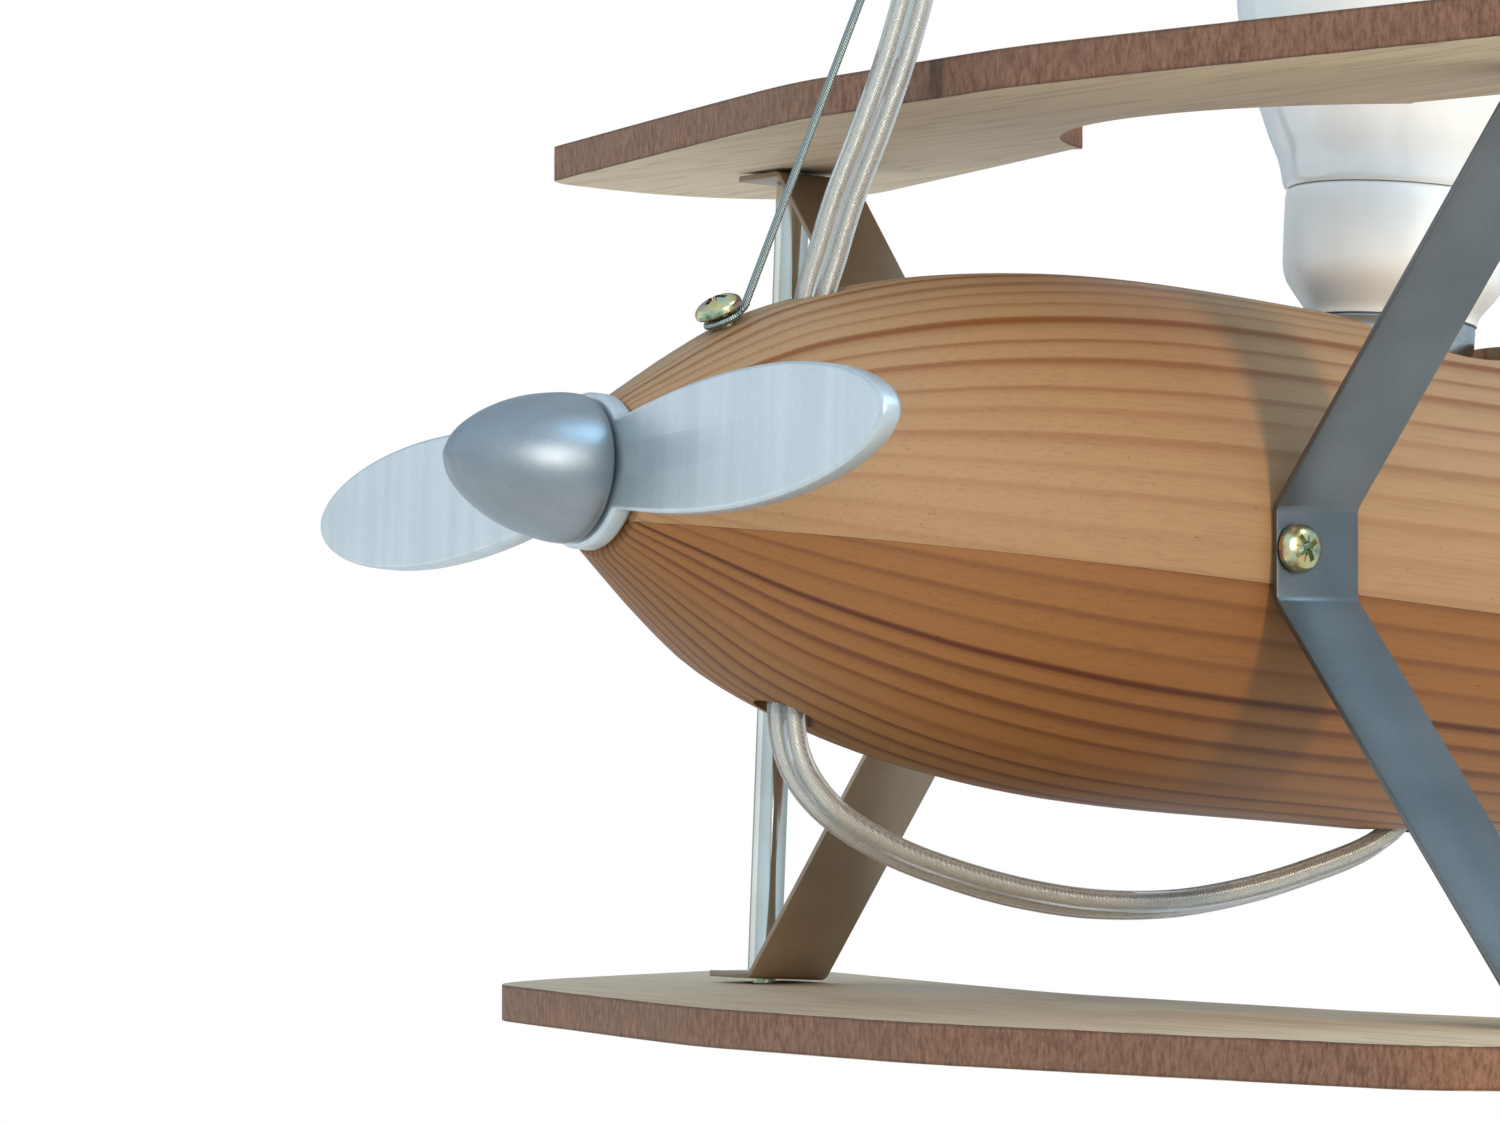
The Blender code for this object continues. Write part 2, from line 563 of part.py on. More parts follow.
def make_lamp(axis):
    lamp = empty("lamp_axis", axis, (0, 0, LAMP_AT), (-90, 0, 0))
    floor = WELL_FLOOR + GAP
    shell = [(0.0, floor + 2.0), (18.0, floor + 2.0), (18.0, 33.0), (19.0, 33.0), (19.6, 32.4), (20.0, 31.0)]
    shell += [(20.0, floor), (0.0, floor)]
    holder = turned("holder_shell", shell, "black_plastic", lamp, steps=36)
    entry = rod("lead_entry", 4.4, -30.0, -10.0, None, lamp, (0, 13.4, 0), (0, 0, 0), 16)
    cut(holder, entry)
    insert = [(0.0, 3.0), (15.2, 3.0), (15.2, 6.0), (17.6, 6.0), (17.6, -4.0), (0.0, -4.0)]
    turned("holder_insert", insert, "ceramic", lamp, steps=32)
    sleeve("holder_thread", 14.8, 14.0, 3.0 + GAP, 31.0, "brass", lamp, steps=32)
    turned("holder_contact", [(0.0, 9.0), (2.6, 8.6), (3.4, 7.6), (3.4, 3.3), (0.0, 3.3)], "brass", lamp, steps=16)
    bulb = empty("bulb_axis", lamp)
    make_bulb(bulb)


def make_bulb(bulb):
    cap = [(0.0, 13.0), (10.6, 15.4), (12.4, 17.4), (12.4, 39.6), (13.2, 39.6), (13.2, 16.0), (11.4, 13.4)]
    cap += [(5.0, 11.8), (4.4, 9.8), (0.0, 9.8)]
    turned("bulb_cap", cap, "bulb_metal", bulb, steps=32)
    housing = [(0.0, 57.0), (14.0, 57.0), (14.0, 59.6), (16.9, 59.6), (17.5, 59.0), (17.7, 57.3), (17.5, 50.1)]
    housing += [(17.4, 47.2), (16.8, 45.6), (15.4, 43.6), (13.9, 41.6), (13.4, 40.6), (13.4, 39.9), (11.8, 39.9)]
    housing += [(11.8, 34.0), (0.0, 34.0)]
    turned("bulb_housing", housing, "white_plastic", bulb, steps=32)
    low = 59.6 + GAP
    glass = [(0.0, 119.4), (3.5, 119.2), (8.5, 118.2), (14.8, 115.2), (20.0, 111.0), (23.9, 106.0), (26.6, 100.0)]
    glass += [(27.5, 93.0), (26.9, 86.1), (25.2, 79.0), (22.6, 72.3), (20.8, 67.8), (19.1, 64.0), (18.4, 61.6)]
    glass += [(17.5, low), (13.5, low), (14.6, 63.0), (20.4, 72.0), (25.3, 86.0), (25.9, 93.0), (25.0, 99.5)]
    glass += [(22.6, 104.9), (18.9, 109.7), (14.0, 113.6), (8.0, 116.5), (3.4, 117.5), (0.0, 117.7)]
    turned("bulb_glass", glass, "opal_glass", bulb, steps=32)


# ---------------------------------------------------------------- hanging gear

def on_axis_frame(station, height):
    """Airframe Y and Z of a point in the fuselage's plane of symmetry."""
    pitch = math.radians(NOSE_UP)
    y = -station * math.cos(pitch) + height * math.sin(pitch)
    z = AXIS_LIFT + station * math.sin(pitch) + height * math.cos(pitch)
    return y, z


def screw_loop(station, aft):
    """An open eye of wire round a hang screw's shank, then the lift towards the ring."""
    slope = (fuselage_radius(station + 2) - fuselage_radius(station - 2)) / 4
    y, z = on_axis_frame(station, fuselage_radius(station))
    angle = math.radians(NOSE_UP) + math.atan(slope)
    along = Vector((0.0, math.cos(angle), -math.sin(angle)))
    normal = Vector((0.0, math.sin(angle), math.cos(angle)))
    base = Vector((0.0, y, z)) + 0.98 * normal
    eye = 1.6 + GAP + WIRE_RADIUS
    points = []
    for degrees in range(-150, 151, 25):
        a = math.radians(degrees)
        points.append(base + eye * math.sin(a) * Vector((1, 0, 0)) - eye * math.cos(a) * aft * along)
    tail = base + aft * 5.4 * along + Vector((-0.75, 0, 0)) + 0.25 * normal
    lead = base + aft * 3.6 * along + Vector((0.75, 0, 0)) + 0.2 * normal
    return [tail] + points + [lead], base, along, normal


def make_hang_wire(hanger, name, station, aft, ring_x):
    loop, base, along, normal = screw_loop(station, aft)
    ring_foot = Vector((ring_x, HANG_SETBACK, RING_Z - RING_RADIUS))
    pull = (base + aft * 5.0 * along - ring_foot).normalized()
    eye_centre = ring_foot + 0.4 * pull
    side = Vector((0.0, -pull.z, pull.y)) * (1 if pull.y < 0 else -1)
    ferrule = eye_centre + 12.0 * pull
    climb = [base + aft * 4.9 * along + 1.2 * normal + Vector((0.7, 0, 0))]
    strand = 0.78
    climb.append(climb[-1].lerp(ferrule, 0.06))
    climb.append(climb[0].lerp(ferrule, 0.5))
    climb.append(ferrule + 7.0 * pull + strand * side)
    climb.append(ferrule - 4.5 * pull + strand * side)
    eye = []
    for degrees in range(-60, 241, 30):
        a = math.radians(degrees)
        eye.append(eye_centre + 2.9 * (math.cos(a) * side - math.sin(a) * pull))
    back = [ferrule - 4.5 * pull - strand * side, ferrule + 6.0 * pull - strand * side]
    wire(name + "_wire", loop + climb + eye + back, WIRE_RADIUS, "coated_wire", hanger)
    lean = math.degrees(math.atan2(-pull.y, -pull.z))
    sleeve(name + "_ferrule", 2.6, 1.9, -4.0, 4.0, "steel_strip", hanger, tuple(ferrule), (-lean, 0, 0), 16)


def torus(name, major, minor, material, parent, location, rotation):
    profile = [(major + minor * math.cos(a), minor * math.sin(a))
               for a in [math.radians(90 - 36 * i) for i in range(10)]]
    return turned(name, profile, material, parent, location, rotation, 28, ring=True)


def make_hook(hanger):
    y = HANG_SETBACK
    reach = 5.0
    points = [(0, y, DROP - 2.3), (0, y, HOOK_Z + 12.0), (0, y + 1.6, HOOK_Z + 8.6), (0, y + 4.2, HOOK_Z + 5.0)]
    for degrees in range(0, 181, 20):
        a = math.radians(degrees)
        points.append((0, y + reach * math.cos(a), HOOK_Z - reach * math.sin(a)))
    points.append((0, y - reach - 0.4, HOOK_Z + 3.0))
    wire("ceiling_hook", points, 1.5, "steel_strip", hanger)
    nut = (0, y, DROP - 2.3 - 1.8)
    plate("hook_nut", [hexagon(8.0), circle(1.5 + GAP, 14)], 3.0, "steel_strip", hanger, nut)
    torus("hanging_ring", RING_RADIUS, 1.25, "steel_strip", hanger, (0, y, RING_Z), (90, 0, 0))


def make_rose(rose):
    plate_hole = circle(2.2, 12, (24.0, 0.0))
    other_hole = circle(2.2, 12, (-24.0, 0.0))
    plate("ceiling_plate", [circle(34.0, 40), plate_hole, other_hole], 2.0, "steel_strip", rose, (0, 0, -1.0))
    cover = empty("rose_axis", rose)
    rim = -GAP
    floor = -ROSE_DEPTH
    outer = [(ROSE_RADIUS, rim), (ROSE_RADIUS, floor + 7.0), (41.0, floor + 3.6), (38.4, floor + 1.0), (34.6, floor)]
    inner = [(34.4, floor + 1.4), (37.6, floor + 2.3), (39.7, floor + 4.4), (40.6, floor + 7.2), (40.6, rim)]
    bore = [(2.1, floor), (2.1, floor + 1.4)]
    cup = turned("rose_cup", outer + bore + inner, "white_paint", cover, steps=36, ring=True)
    cut(cup, rod("gland_hole", 5.3, floor - 5, floor + 5, None, cover, (0, GLAND_Y, 0)))
    gland = [(5.0, floor + 4.0), (5.0, floor - GAP), (6.6, floor - GAP), (6.4, floor - 5.0), (5.6, floor - 9.0)]
    gland += [(4.6, floor - 12.0), (3.6, floor - 12.0), (3.6, floor + 4.0)]
    turned("cord_grip", gland, "white_plastic", cover, (0, GLAND_Y, 0), steps=28, ring=True)
    collar = [(4.5, floor - GAP), (4.5, floor - 7.0), (3.8, floor - 8.0), (1.9, floor - 8.0), (1.9, floor - GAP)]
    stop = turned("cup_collar", collar, "steel_strip", cover, steps=24, ring=True)
    cut(stop, rod("collar_screw_hole", 1.3, 1.0, 9.0, None, cover, (0, 0, floor - 4.0), (0, 90, 0), 12))
    grub = [(0.0, 4.9), (0.95, 4.9), (0.95, 2.4), (0.0, 2.0)]
    turned("collar_screw", grub, "yellow_zinc", cover, (0, 0, floor - 4.0), (0, 90, 0), 12)
    terminal = block("terminal_block", (18, 11, 11), "white_plastic", rose, (0, GLAND_Y, -2.3 - 5.6), bevel=0.8)
    wells = [rod("terminal_well", 1.8, -20, -4, None, rose, (x, GLAND_Y, -2.3), steps=12) for x in (-4.5, 4.5)]
    cut(terminal, *wells)


def make_lamp_assembly():
    rose = empty("ceiling_face")
    hanger = empty("side_screw_axis", rose, (0, -HANG_SETBACK, -DROP))
    axis = empty("fuselage_axis", hanger, (0, 0, AXIS_LIFT), (90 - NOSE_UP, 0, 0))
    make_fuselage(axis, hanger)
    make_tail(axis)
    make_nose(axis)
    make_hang_screws(axis)
    make_wing_cell(hanger)
    make_lamp(axis)
    make_hang_wire(hanger, "front", FRONT_SCREW_AT, 1, -2.2)
    make_hang_wire(hanger, "rear", REAR_SCREW_AT, -1, 2.2)
    make_hook(hanger)
    make_rose(rose)
    wire("supply_lead", smooth_route(SUPPLY_ROUTE, 7.4), LEAD_RADIUS, "clear_lead", hanger)


make_lamp_assembly()
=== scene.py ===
"""The biplane pendant lamp as it looks: turned pine, plywood wings, plated metal, clear lead and bulb."""
import math

import bmesh
import bpy
from mathutils import Matrix, Vector


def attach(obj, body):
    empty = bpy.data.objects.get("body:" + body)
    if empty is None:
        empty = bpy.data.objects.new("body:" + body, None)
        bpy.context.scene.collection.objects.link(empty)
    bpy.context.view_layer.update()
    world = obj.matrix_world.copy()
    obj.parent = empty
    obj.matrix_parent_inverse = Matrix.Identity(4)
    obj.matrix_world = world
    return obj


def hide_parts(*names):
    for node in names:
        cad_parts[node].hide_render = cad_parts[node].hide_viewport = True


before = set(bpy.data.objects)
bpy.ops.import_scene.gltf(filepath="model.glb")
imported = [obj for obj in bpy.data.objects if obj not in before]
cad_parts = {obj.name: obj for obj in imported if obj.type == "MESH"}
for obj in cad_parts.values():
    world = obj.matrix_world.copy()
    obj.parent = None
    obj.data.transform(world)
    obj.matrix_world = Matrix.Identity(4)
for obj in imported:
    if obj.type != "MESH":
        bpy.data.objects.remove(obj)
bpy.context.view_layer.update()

MM = 0.001

# ---------------------------------------------------------------- the part's own dimensions, in millimetres

DROP = 315.0
HANG_SETBACK = 18.0
NOSE_UP = 5.0
AXIS_LIFT = 1.5

NOSE_FACE = 93.8
TAIL_END = -230.0
STATIONS = [
    (93.8, 11.4), (88.0, 15.6), (80.0, 21.2), (70.0, 27.2), (55.0, 32.6), (40.0, 36.2), (20.0, 38.9),
    (0.0, 39.8), (-30.0, 39.5), (-60.0, 39.0), (-90.0, 37.0), (-120.0, 33.2), (-150.0, 27.8),
    (-180.0, 20.6), (-205.0, 13.4), (-220.0, 9.0), (-230.0, 5.0),
]
SEAM_DROP = 6.9
SEAM_TILT = 0.2

PROP_MIDDLE = 96.0
PROP_THICKNESS = 3.4
HUB_RADIUS = 11.3
PROP_RISE = 0.7
BLADE_REACH = 77.3
BLADE_WIDTH = 19.4
BLADE_WIDEST = 42.0
BLADE_TWIST = 4.2
CABLE_BORE_AT = 60.0
FRONT_SCREW_AT = 75.0
REAR_SCREW_AT = -172.0

PLY = 6.0
UPPER_WING_Z = 69.2
LOWER_WING_Z = -71.0
CUTOUT_CENTRE = 48.5
CUTOUT_RADIUS = 50.0
STRIP_WIDTH = 15.0
STRIP_THICKNESS = 1.0
STRIP_MIDDLE = 4.0
STRIP_FLAT = 6.8
STRIP_DROP = -0.7
STARBOARD_LEAN = 2.5
STARBOARD_SHIFT = -1.35
STARBOARD_BEND = 1.5
STARBOARD_TURN = 2.6
TAB_SLACK = (0.25, 0.5)
HEAD_SLACK = 0.4
BEND_X = 97.0
TAB_END_X = 107.5
ROD_X = 102.4
TUBE_RADIUS = 2.8
ROD_RADIUS = 1.9
LAMP_AT = -47.0

SUPPLY_ROUTE = [
    (0.0, -4.0, 299.0), (0.0, -4.0, 284.0), (0.0, -4.0, 268.0), (0.0, -4.1, 254.0), (0.5, -5.4, 238.0),
    (2.2, -9.4, 218.0), (4.8, -16.4, 192.0), (8.0, -25.4, 163.0), (10.6, -34.4, 134.0), (11.8, -41.2, 107.0),
    (11.3, -45.2, 88.0), (8.8, -47.9, 74.0), (6.0, -50.8, 62.5), (2.9, -53.6, 52.0), (1.2, -55.6, 43.5),
    (0.2, -57.4, 36.0), (0.0, -58.2, 24.0), (0.0, -59.8, 6.0), (0.0, -61.4, -12.0), (0.0, -62.2, -23.0),
    (0.0, -60.4, -31.5), (0.0, -54.4, -38.4), (0.0, -44.6, -43.8), (0.0, -33.6, -47.6),
    (0.0, -20.6, -50.8), (0.0, -6.7, -52.7), (0.0, 8.3, -52.8), (0.0, 23.0, -50.8), (0.0, 35.5, -47.8),
    (0.0, 44.5, -45.0), (0.0, 50.3, -41.7), (0.0, 54.3, -36.9), (0.0, 57.0, -30.9), (0.0, 58.3, -23.9),
    (0.0, 58.7, -16.7), (0.0, 58.5, -10.3),
]

UPPER_TIP = [
    (137.0, -20.2), (140.4, -16.6), (144.0, -8.0), (147.4, 2.0), (149.2, 12.0), (149.0, 21.0),
    (146.4, 29.4), (141.4, 35.0), (134.0, 38.0), (126.0, 38.2), (116.0, 36.4),
]
LOWER_TIP = [
    (116.0, -42.0), (121.4, -39.2), (127.4, -32.6), (133.6, -22.4), (139.4, -9.0), (145.2, 6.0),
    (149.6, 18.4), (151.0, 26.0), (148.4, 31.4), (142.0, 34.0), (134.0, 33.8), (116.0, 30.2),
]

# ---------------------------------------------------------------- frames

AIRFRAME = Matrix.Translation((0, -HANG_SETBACK * MM, -DROP * MM))
AXIS = AIRFRAME @ Matrix.Translation((0, 0, AXIS_LIFT * MM))
AXIS = AXIS @ Matrix.Rotation(math.radians(90 - NOSE_UP), 4, "X")
TURN = AXIS @ Matrix.Translation((0, PROP_RISE * MM, PROP_MIDDLE * MM))
TURN = TURN @ Matrix.Rotation(math.radians(BLADE_TWIST), 4, "Z")
LAMP = AXIS @ Matrix.Translation((0, 0, LAMP_AT * MM)) @ Matrix.Rotation(math.radians(-90), 4, "X")


def at(frame_matrix, x, y, z, turn_x=0.0, turn_y=0.0, turn_z=0.0):
    """A frame moved by x, y, z millimetres and then turned by degrees about its own axes in Z, Y, X order."""
    turn = Matrix.Rotation(math.radians(turn_z), 4, "Z") @ Matrix.Rotation(math.radians(turn_y), 4, "Y")
    turn = turn @ Matrix.Rotation(math.radians(turn_x), 4, "X")
    return frame_matrix @ Matrix.Translation((x * MM, y * MM, z * MM)) @ turn


SKEWED = at(AIRFRAME, 0, STARBOARD_SHIFT, 0, turn_x=-STARBOARD_LEAN)


# ---------------------------------------------------------------- camera, floor and light

CAMERA_PLACE = (0.76078, -0.57149, -0.34253)
CAMERA_PITCH = 91.6146
CAMERA_ROUND = 57.476
CAMERA_LENS = 148.7
FLOOR_LEVEL = -1.4
FLOOR_HALF = 8
ROOM_COLOUR = (0.66, 0.84, 1.0, 1.0)

def make_camera():
    """A long lens low beside the nose, 57 degrees round to the port side and looking slightly up."""
    camera = bpy.data.objects.new("camera", bpy.data.cameras.new("camera"))
    bpy.context.scene.collection.objects.link(camera)
    camera.data.sensor_width = 36.0
    camera.data.lens = CAMERA_LENS
    camera.data.clip_start = 0.01
    camera.location = CAMERA_PLACE
    camera.rotation_euler = (math.radians(CAMERA_PITCH), 0.0, math.radians(CAMERA_ROUND))
    bpy.context.scene.camera = camera


def area_light(name, direction, distance, size, power, colour, diffuse=True, glossy=True):
    """A square light that faces the model from a direction in the airframe's frame."""
    light = bpy.data.lights.new(name, "AREA")
    light.size = size
    light.energy = power
    light.color = colour
    obj = bpy.data.objects.new(name, light)
    bpy.context.scene.collection.objects.link(obj)
    towards = Vector(direction).normalized()
    obj.location = AIRFRAME.translation + distance * towards
    obj.rotation_euler = towards.to_track_quat("Z", "Y").to_euler()
    obj.visible_diffuse = diffuse
    obj.visible_glossy = glossy


def make_stage():
    world = bpy.data.worlds.new("studio")
    bpy.context.scene.world = world
    world.use_nodes = True
    tree = world.node_tree
    backdrop = tree.nodes["Background"]
    backdrop.inputs["Color"].default_value = (1.0, 1.0, 1.0, 1.0)
    backdrop.inputs["Strength"].default_value = 1.0
    room = tree.nodes.new("ShaderNodeBackground")
    room.inputs["Color"].default_value = ROOM_COLOUR
    facing = tree.nodes.new("ShaderNodeVectorMath")
    facing.operation = "DOT_PRODUCT"
    facing.inputs[1].default_value = (0.55, -0.35, 0.76)
    fall = tree.nodes.new("ShaderNodeMath")
    fall.operation = "MULTIPLY_ADD"
    fall.inputs[1].default_value = 0.42
    fall.inputs[2].default_value = 0.82
    direction = tree.nodes.new("ShaderNodeTexCoord")
    tree.links.new(direction.outputs["Generated"], facing.inputs[0])
    tree.links.new(facing.outputs["Value"], fall.inputs[0])
    tree.links.new(fall.outputs[0], room.inputs["Strength"])
    path = tree.nodes.new("ShaderNodeLightPath")
    mix = tree.nodes.new("ShaderNodeMixShader")
    tree.links.new(path.outputs["Is Camera Ray"], mix.inputs[0])
    tree.links.new(room.outputs[0], mix.inputs[1])
    tree.links.new(backdrop.outputs[0], mix.inputs[2])
    tree.links.new(mix.outputs[0], tree.nodes["World Output"].inputs["Surface"])
    area_light("lamp_across_the_room", (1.0, -0.04, 0.16), 1.1, 0.12, 5.6, (1.0, 0.68, 0.36), glossy=False)
    area_light("glint", (1.0, -0.10, 0.22), 1.1, 0.5, 4.4, (1.0, 0.95, 0.88), diffuse=False)
    area_light("window", (-0.75, -0.62, 0.04), 1.6, 1.5, 3.4, (1.0, 0.985, 0.97))
    area_light("sky", (0.59, 0.37, 0.71), 1.4, 0.6, 5.2, (0.40, 0.73, 1.0))
    bpy.context.scene.view_settings.view_transform = "Standard"
    mesh = bpy.data.meshes.new("floor")
    half = FLOOR_HALF
    corners = [(-half, -half, 0), (half, -half, 0), (half, half, 0), (-half, half, 0)]
    mesh.from_pydata(corners, [], [(0, 1, 2, 3)])
    floor = bpy.data.objects.new("floor", mesh)
    bpy.context.scene.collection.objects.link(floor)
    floor.location.z = FLOOR_LEVEL
    paint = bpy.data.materials.new("floor_paint")
    paint.use_nodes = True
    shader = paint.node_tree.nodes["Principled BSDF"]
    shader.inputs["Base Color"].default_value = (0.92, 0.85, 0.77, 1.0)
    shader.inputs["Roughness"].default_value = 0.7
    shader.inputs["Emission Color"].default_value = (1.0, 1.0, 1.0, 1.0)
    shader.inputs["Emission Strength"].default_value = 0.15
    mesh.materials.append(paint)


# ---------------------------------------------------------------- node helpers

def srgb(red, green, blue):
    """A colour given as display values of 0 to 255, made linear."""
    return tuple((value / 255.0) ** 2.2 for value in (red, green, blue)) + (1.0,)


class Shader:
    """A material's nodes, added one line at a time."""

    def __init__(self, name, **sockets):
        self.material = bpy.data.materials.new(name)
        self.material.use_nodes = True
        self.tree = self.material.node_tree
        self.surface = self.tree.nodes["Principled BSDF"]
        for socket, value in sockets.items():
            self.set(socket.replace("_", " "), value)

    def set(self, socket, value):
        self.feed(self.surface.inputs[socket], value)

    def feed(self, target, value):
        if isinstance(value, bpy.types.NodeSocket):
            self.tree.links.new(value, target)
        else:
            target.default_value = value

    def node(self, kind, inputs=(), **settings):
        made = self.tree.nodes.new("ShaderNode" + kind)
        for name, value in settings.items():
            setattr(made, name, value)
        for name, value in dict(inputs).items():
            self.feed(made.inputs[name], value)
        return made

    def math(self, operation, first, second=0.0, third=0.0):
        made = self.tree.nodes.new("ShaderNodeMath")
        made.operation = operation
        for target, value in zip(made.inputs, (first, second, third)):
            self.feed(target, value)
        return made.outputs[0]

    def place(self, scale=(1, 1, 1), turn=(0, 0, 0)):
        """Object coordinates in millimetres, scaled along each axis."""
        source = self.node("TexCoord").outputs["Object"]
        scaled = [1000.0 * value for value in scale]
        inputs = {"Vector": source, "Scale": scaled, "Rotation": [math.radians(angle) for angle in turn]}
        return self.node("Mapping", inputs).outputs[0]

    def axes(self, vector):
        return self.node("SeparateXYZ", {"Vector": vector}).outputs

    def noise(self, vector, scale=1.0, detail=3.0, roughness=0.5, dimensions="3D"):
        inputs = {"Scale": scale, "Detail": detail, "Roughness": roughness}
        inputs["W" if dimensions == "1D" else "Vector"] = vector
        return self.node("TexNoise", inputs, noise_dimensions=dimensions).outputs["Fac"]

    def ramp(self, value, stops, interpolation="LINEAR"):
        made = self.node("ValToRGB", {"Fac": value})
        band = made.color_ramp
        band.interpolation = interpolation
        while len(band.elements) < len(stops):
            band.elements.new(0.5)
        for element, (position, colour) in zip(band.elements, stops):
            element.position = position
            element.color = colour if isinstance(colour, tuple) else (colour, colour, colour, 1.0)
        return made.outputs["Color"]

    def mix(self, amount, first, second, blend="MIX"):
        made = self.tree.nodes.new("ShaderNodeMix")
        made.data_type = "RGBA"
        made.blend_type = blend
        for target, value in zip((made.inputs[0], made.inputs[6], made.inputs[7]), (amount, first, second)):
            self.feed(target, value)
        return made.outputs[2]

    def bump(self, height, distance, strength=1.0):
        inputs = {"Height": height, "Distance": distance * MM, "Strength": strength}
        self.set("Normal", self.node("Bump", inputs).outputs[0])


def pine(name, ring, light, dark, pale, tilt, seed, fade):
    """Turned pine: growth rings along the round surface from nose to tail, with fibres and specks.

    Ring is their spacing in millimetres of arc, and fade thins them out towards the level of the axis.
    """
    shader = Shader(name, Specular_IOR_Level=0.35)
    x, height, along = shader.axes(shader.place())
    slow = shader.noise(shader.place((0.022, 0.022, 0.006), (0, 0, seed)), 1.0, 2.0)
    wobble = shader.noise(shader.place((0.09, 0.09, 0.018)), 1.0, 2.0)
    angle = shader.math("ARCTAN2", height, shader.math("ABSOLUTE", x))
    radius = shader.math("MULTIPLY_ADD", angle, 39.8, 200.0)
    radius = shader.math("ADD", radius, shader.math("MULTIPLY", along, tilt))
    radius = shader.math("MULTIPLY_ADD", slow, 1.8, radius)
    radius = shader.math("MULTIPLY_ADD", wobble, 0.7, radius)
    uneven = shader.noise(radius, 0.11, 1.0, dimensions="1D")
    turns = shader.math("MULTIPLY_ADD", uneven, 0.7, shader.math("DIVIDE", radius, ring))
    phase = shader.math("FRACT", turns)
    stops = [(0.0, 0.0), (0.40, 0.05), (0.62, 0.40), (0.76, 1.0), (0.88, 0.95), (0.98, 0.0)]
    band = shader.ramp(phase, stops)
    whole = {"W": shader.math("FLOOR", turns)}
    year = shader.node("TexWhiteNoise", whole, noise_dimensions="1D").outputs["Value"]
    weight = shader.math("MULTIPLY_ADD", year, 0.8, 0.25)
    weight = shader.math("MULTIPLY", weight, shader.ramp(shader.math("ABSOLUTE", angle), fade))
    fine = shader.math("FRACT", shader.math("MULTIPLY", turns, 3.7))
    fine = shader.math("MULTIPLY", shader.ramp(fine, [(0.0, 0.0), (0.7, 0.25), (0.9, 1.0), (1.0, 0.0)]), 0.05)
    late = shader.math("MULTIPLY_ADD", band, weight, fine)
    patch = shader.noise(shader.place((0.05, 0.05, 0.012)), 1.0, 3.0)
    early = shader.mix(shader.ramp(patch, [(0.35, 0.0), (0.7, 1.0)]), light, pale)
    colour = shader.mix(late, early, dark)
    fibre = shader.noise(shader.place((2.6, 2.6, 0.07)), 1.0, 4.0, 0.7)
    colour = shader.mix(0.5, colour, shader.ramp(fibre, [(0.3, 0.62), (0.5, 0.98), (0.75, 1.0)]), "MULTIPLY")
    flecks = shader.noise(shader.place((1.6, 1.6, 0.55)), 1.0, 2.0, 0.6)
    spots = shader.ramp(flecks, [(0.70, 1.0), (0.76, 0.35)])
    colour = shader.mix(0.55, colour, spots, "MULTIPLY")
    shader.set("Base Color", colour)
    shader.set("Roughness", shader.math("MULTIPLY_ADD", fibre, 0.2, 0.46))
    shader.bump(shader.math("MULTIPLY_ADD", band, -0.3, fibre), 0.03, 0.5)
    return shader.material


def plywood(name, dark_band_at=None, face_axis=2):
    """Birch plywood: pale faces with spanwise grain, laser-browned edges with short upright streaks.

    The second argument, when given, puts a darker band across the edge at that many millimetres out, and
    face_axis is the world axis that the sheet's faces look along.
    """
    shader = Shader(name, Specular_IOR_Level=0.35)
    facing = shader.axes(shader.node("NewGeometry").outputs["Normal"])[face_axis]
    face = shader.ramp(shader.math("ABSOLUTE", facing), [(0.55, 0.0), (0.85, 1.0)])
    stretch = shader.noise(shader.place((0.02, 0.5, 0.5)), 1.0, 3.0, 0.6)
    wave = shader.noise(shader.place((0.006, 0.10, 0.1)), 1.0, 2.0)
    drift = shader.math("MULTIPLY", stretch, 1.2)
    rings = shader.math("FRACT", shader.math("MULTIPLY_ADD", wave, 9.0, drift))
    figure = shader.ramp(rings, [(0.0, 0.0), (0.55, 0.15), (0.86, 0.8), (1.0, 0.0)])
    pale = srgb(212, 187, 155)
    shade = srgb(156, 130, 100)
    top = shader.mix(shader.math("MULTIPLY", figure, 0.55), pale, shade)
    fibre = shader.noise(shader.place((0.08, 2.4, 2.4)), 1.0, 4.0, 0.7)
    top = shader.mix(0.45, top, shader.ramp(fibre, [(0.3, 0.6), (0.55, 1.0)]), "MULTIPLY")
    streak = shader.noise(shader.place((1.3, 1.3, 0.45)), 1.0, 4.0, 0.8)
    cloud = shader.noise(shader.place((0.03, 0.03, 0.03)), 1.0, 2.0)
    burnt = shader.mix(shader.ramp(streak, [(0.38, 0.0), (0.62, 1.0)]), srgb(98, 60, 42), srgb(152, 107, 80))
    burnt = shader.mix(shader.math("MULTIPLY", cloud, 0.5), burnt, srgb(137, 101, 76))
    level = shader.math("ABSOLUTE", shader.axes(shader.place())[2])
    rim = shader.ramp(shader.math("DIVIDE", level, 3.0), [(0.80, 1.0), (0.95, 0.42)])
    burnt = shader.mix(0.8, burnt, rim, "MULTIPLY")
    # A darker band across the edge at the given millimetres out, where the lead passes just in front of it.
    if dark_band_at is not None:
        beside = shader.math("ABSOLUTE", shader.math("SUBTRACT", shader.axes(shader.place())[0], dark_band_at))
        edge = shader.math("MULTIPLY_ADD", streak, 1.2, shader.math("SUBTRACT", beside, 0.6))
        band_darkening = shader.ramp(shader.math("DIVIDE", edge, 4.0), [(0.3, 0.4), (0.6, 1.0)])
        burnt = shader.mix(0.85, burnt, band_darkening, "MULTIPLY")
    shader.set("Base Color", shader.mix(face, burnt, top))
    shader.set("Roughness", shader.math("MULTIPLY_ADD", fibre, 0.2, 0.5))
    shader.bump(shader.mix(face, streak, fibre), 0.06, 0.5)
    return shader.material


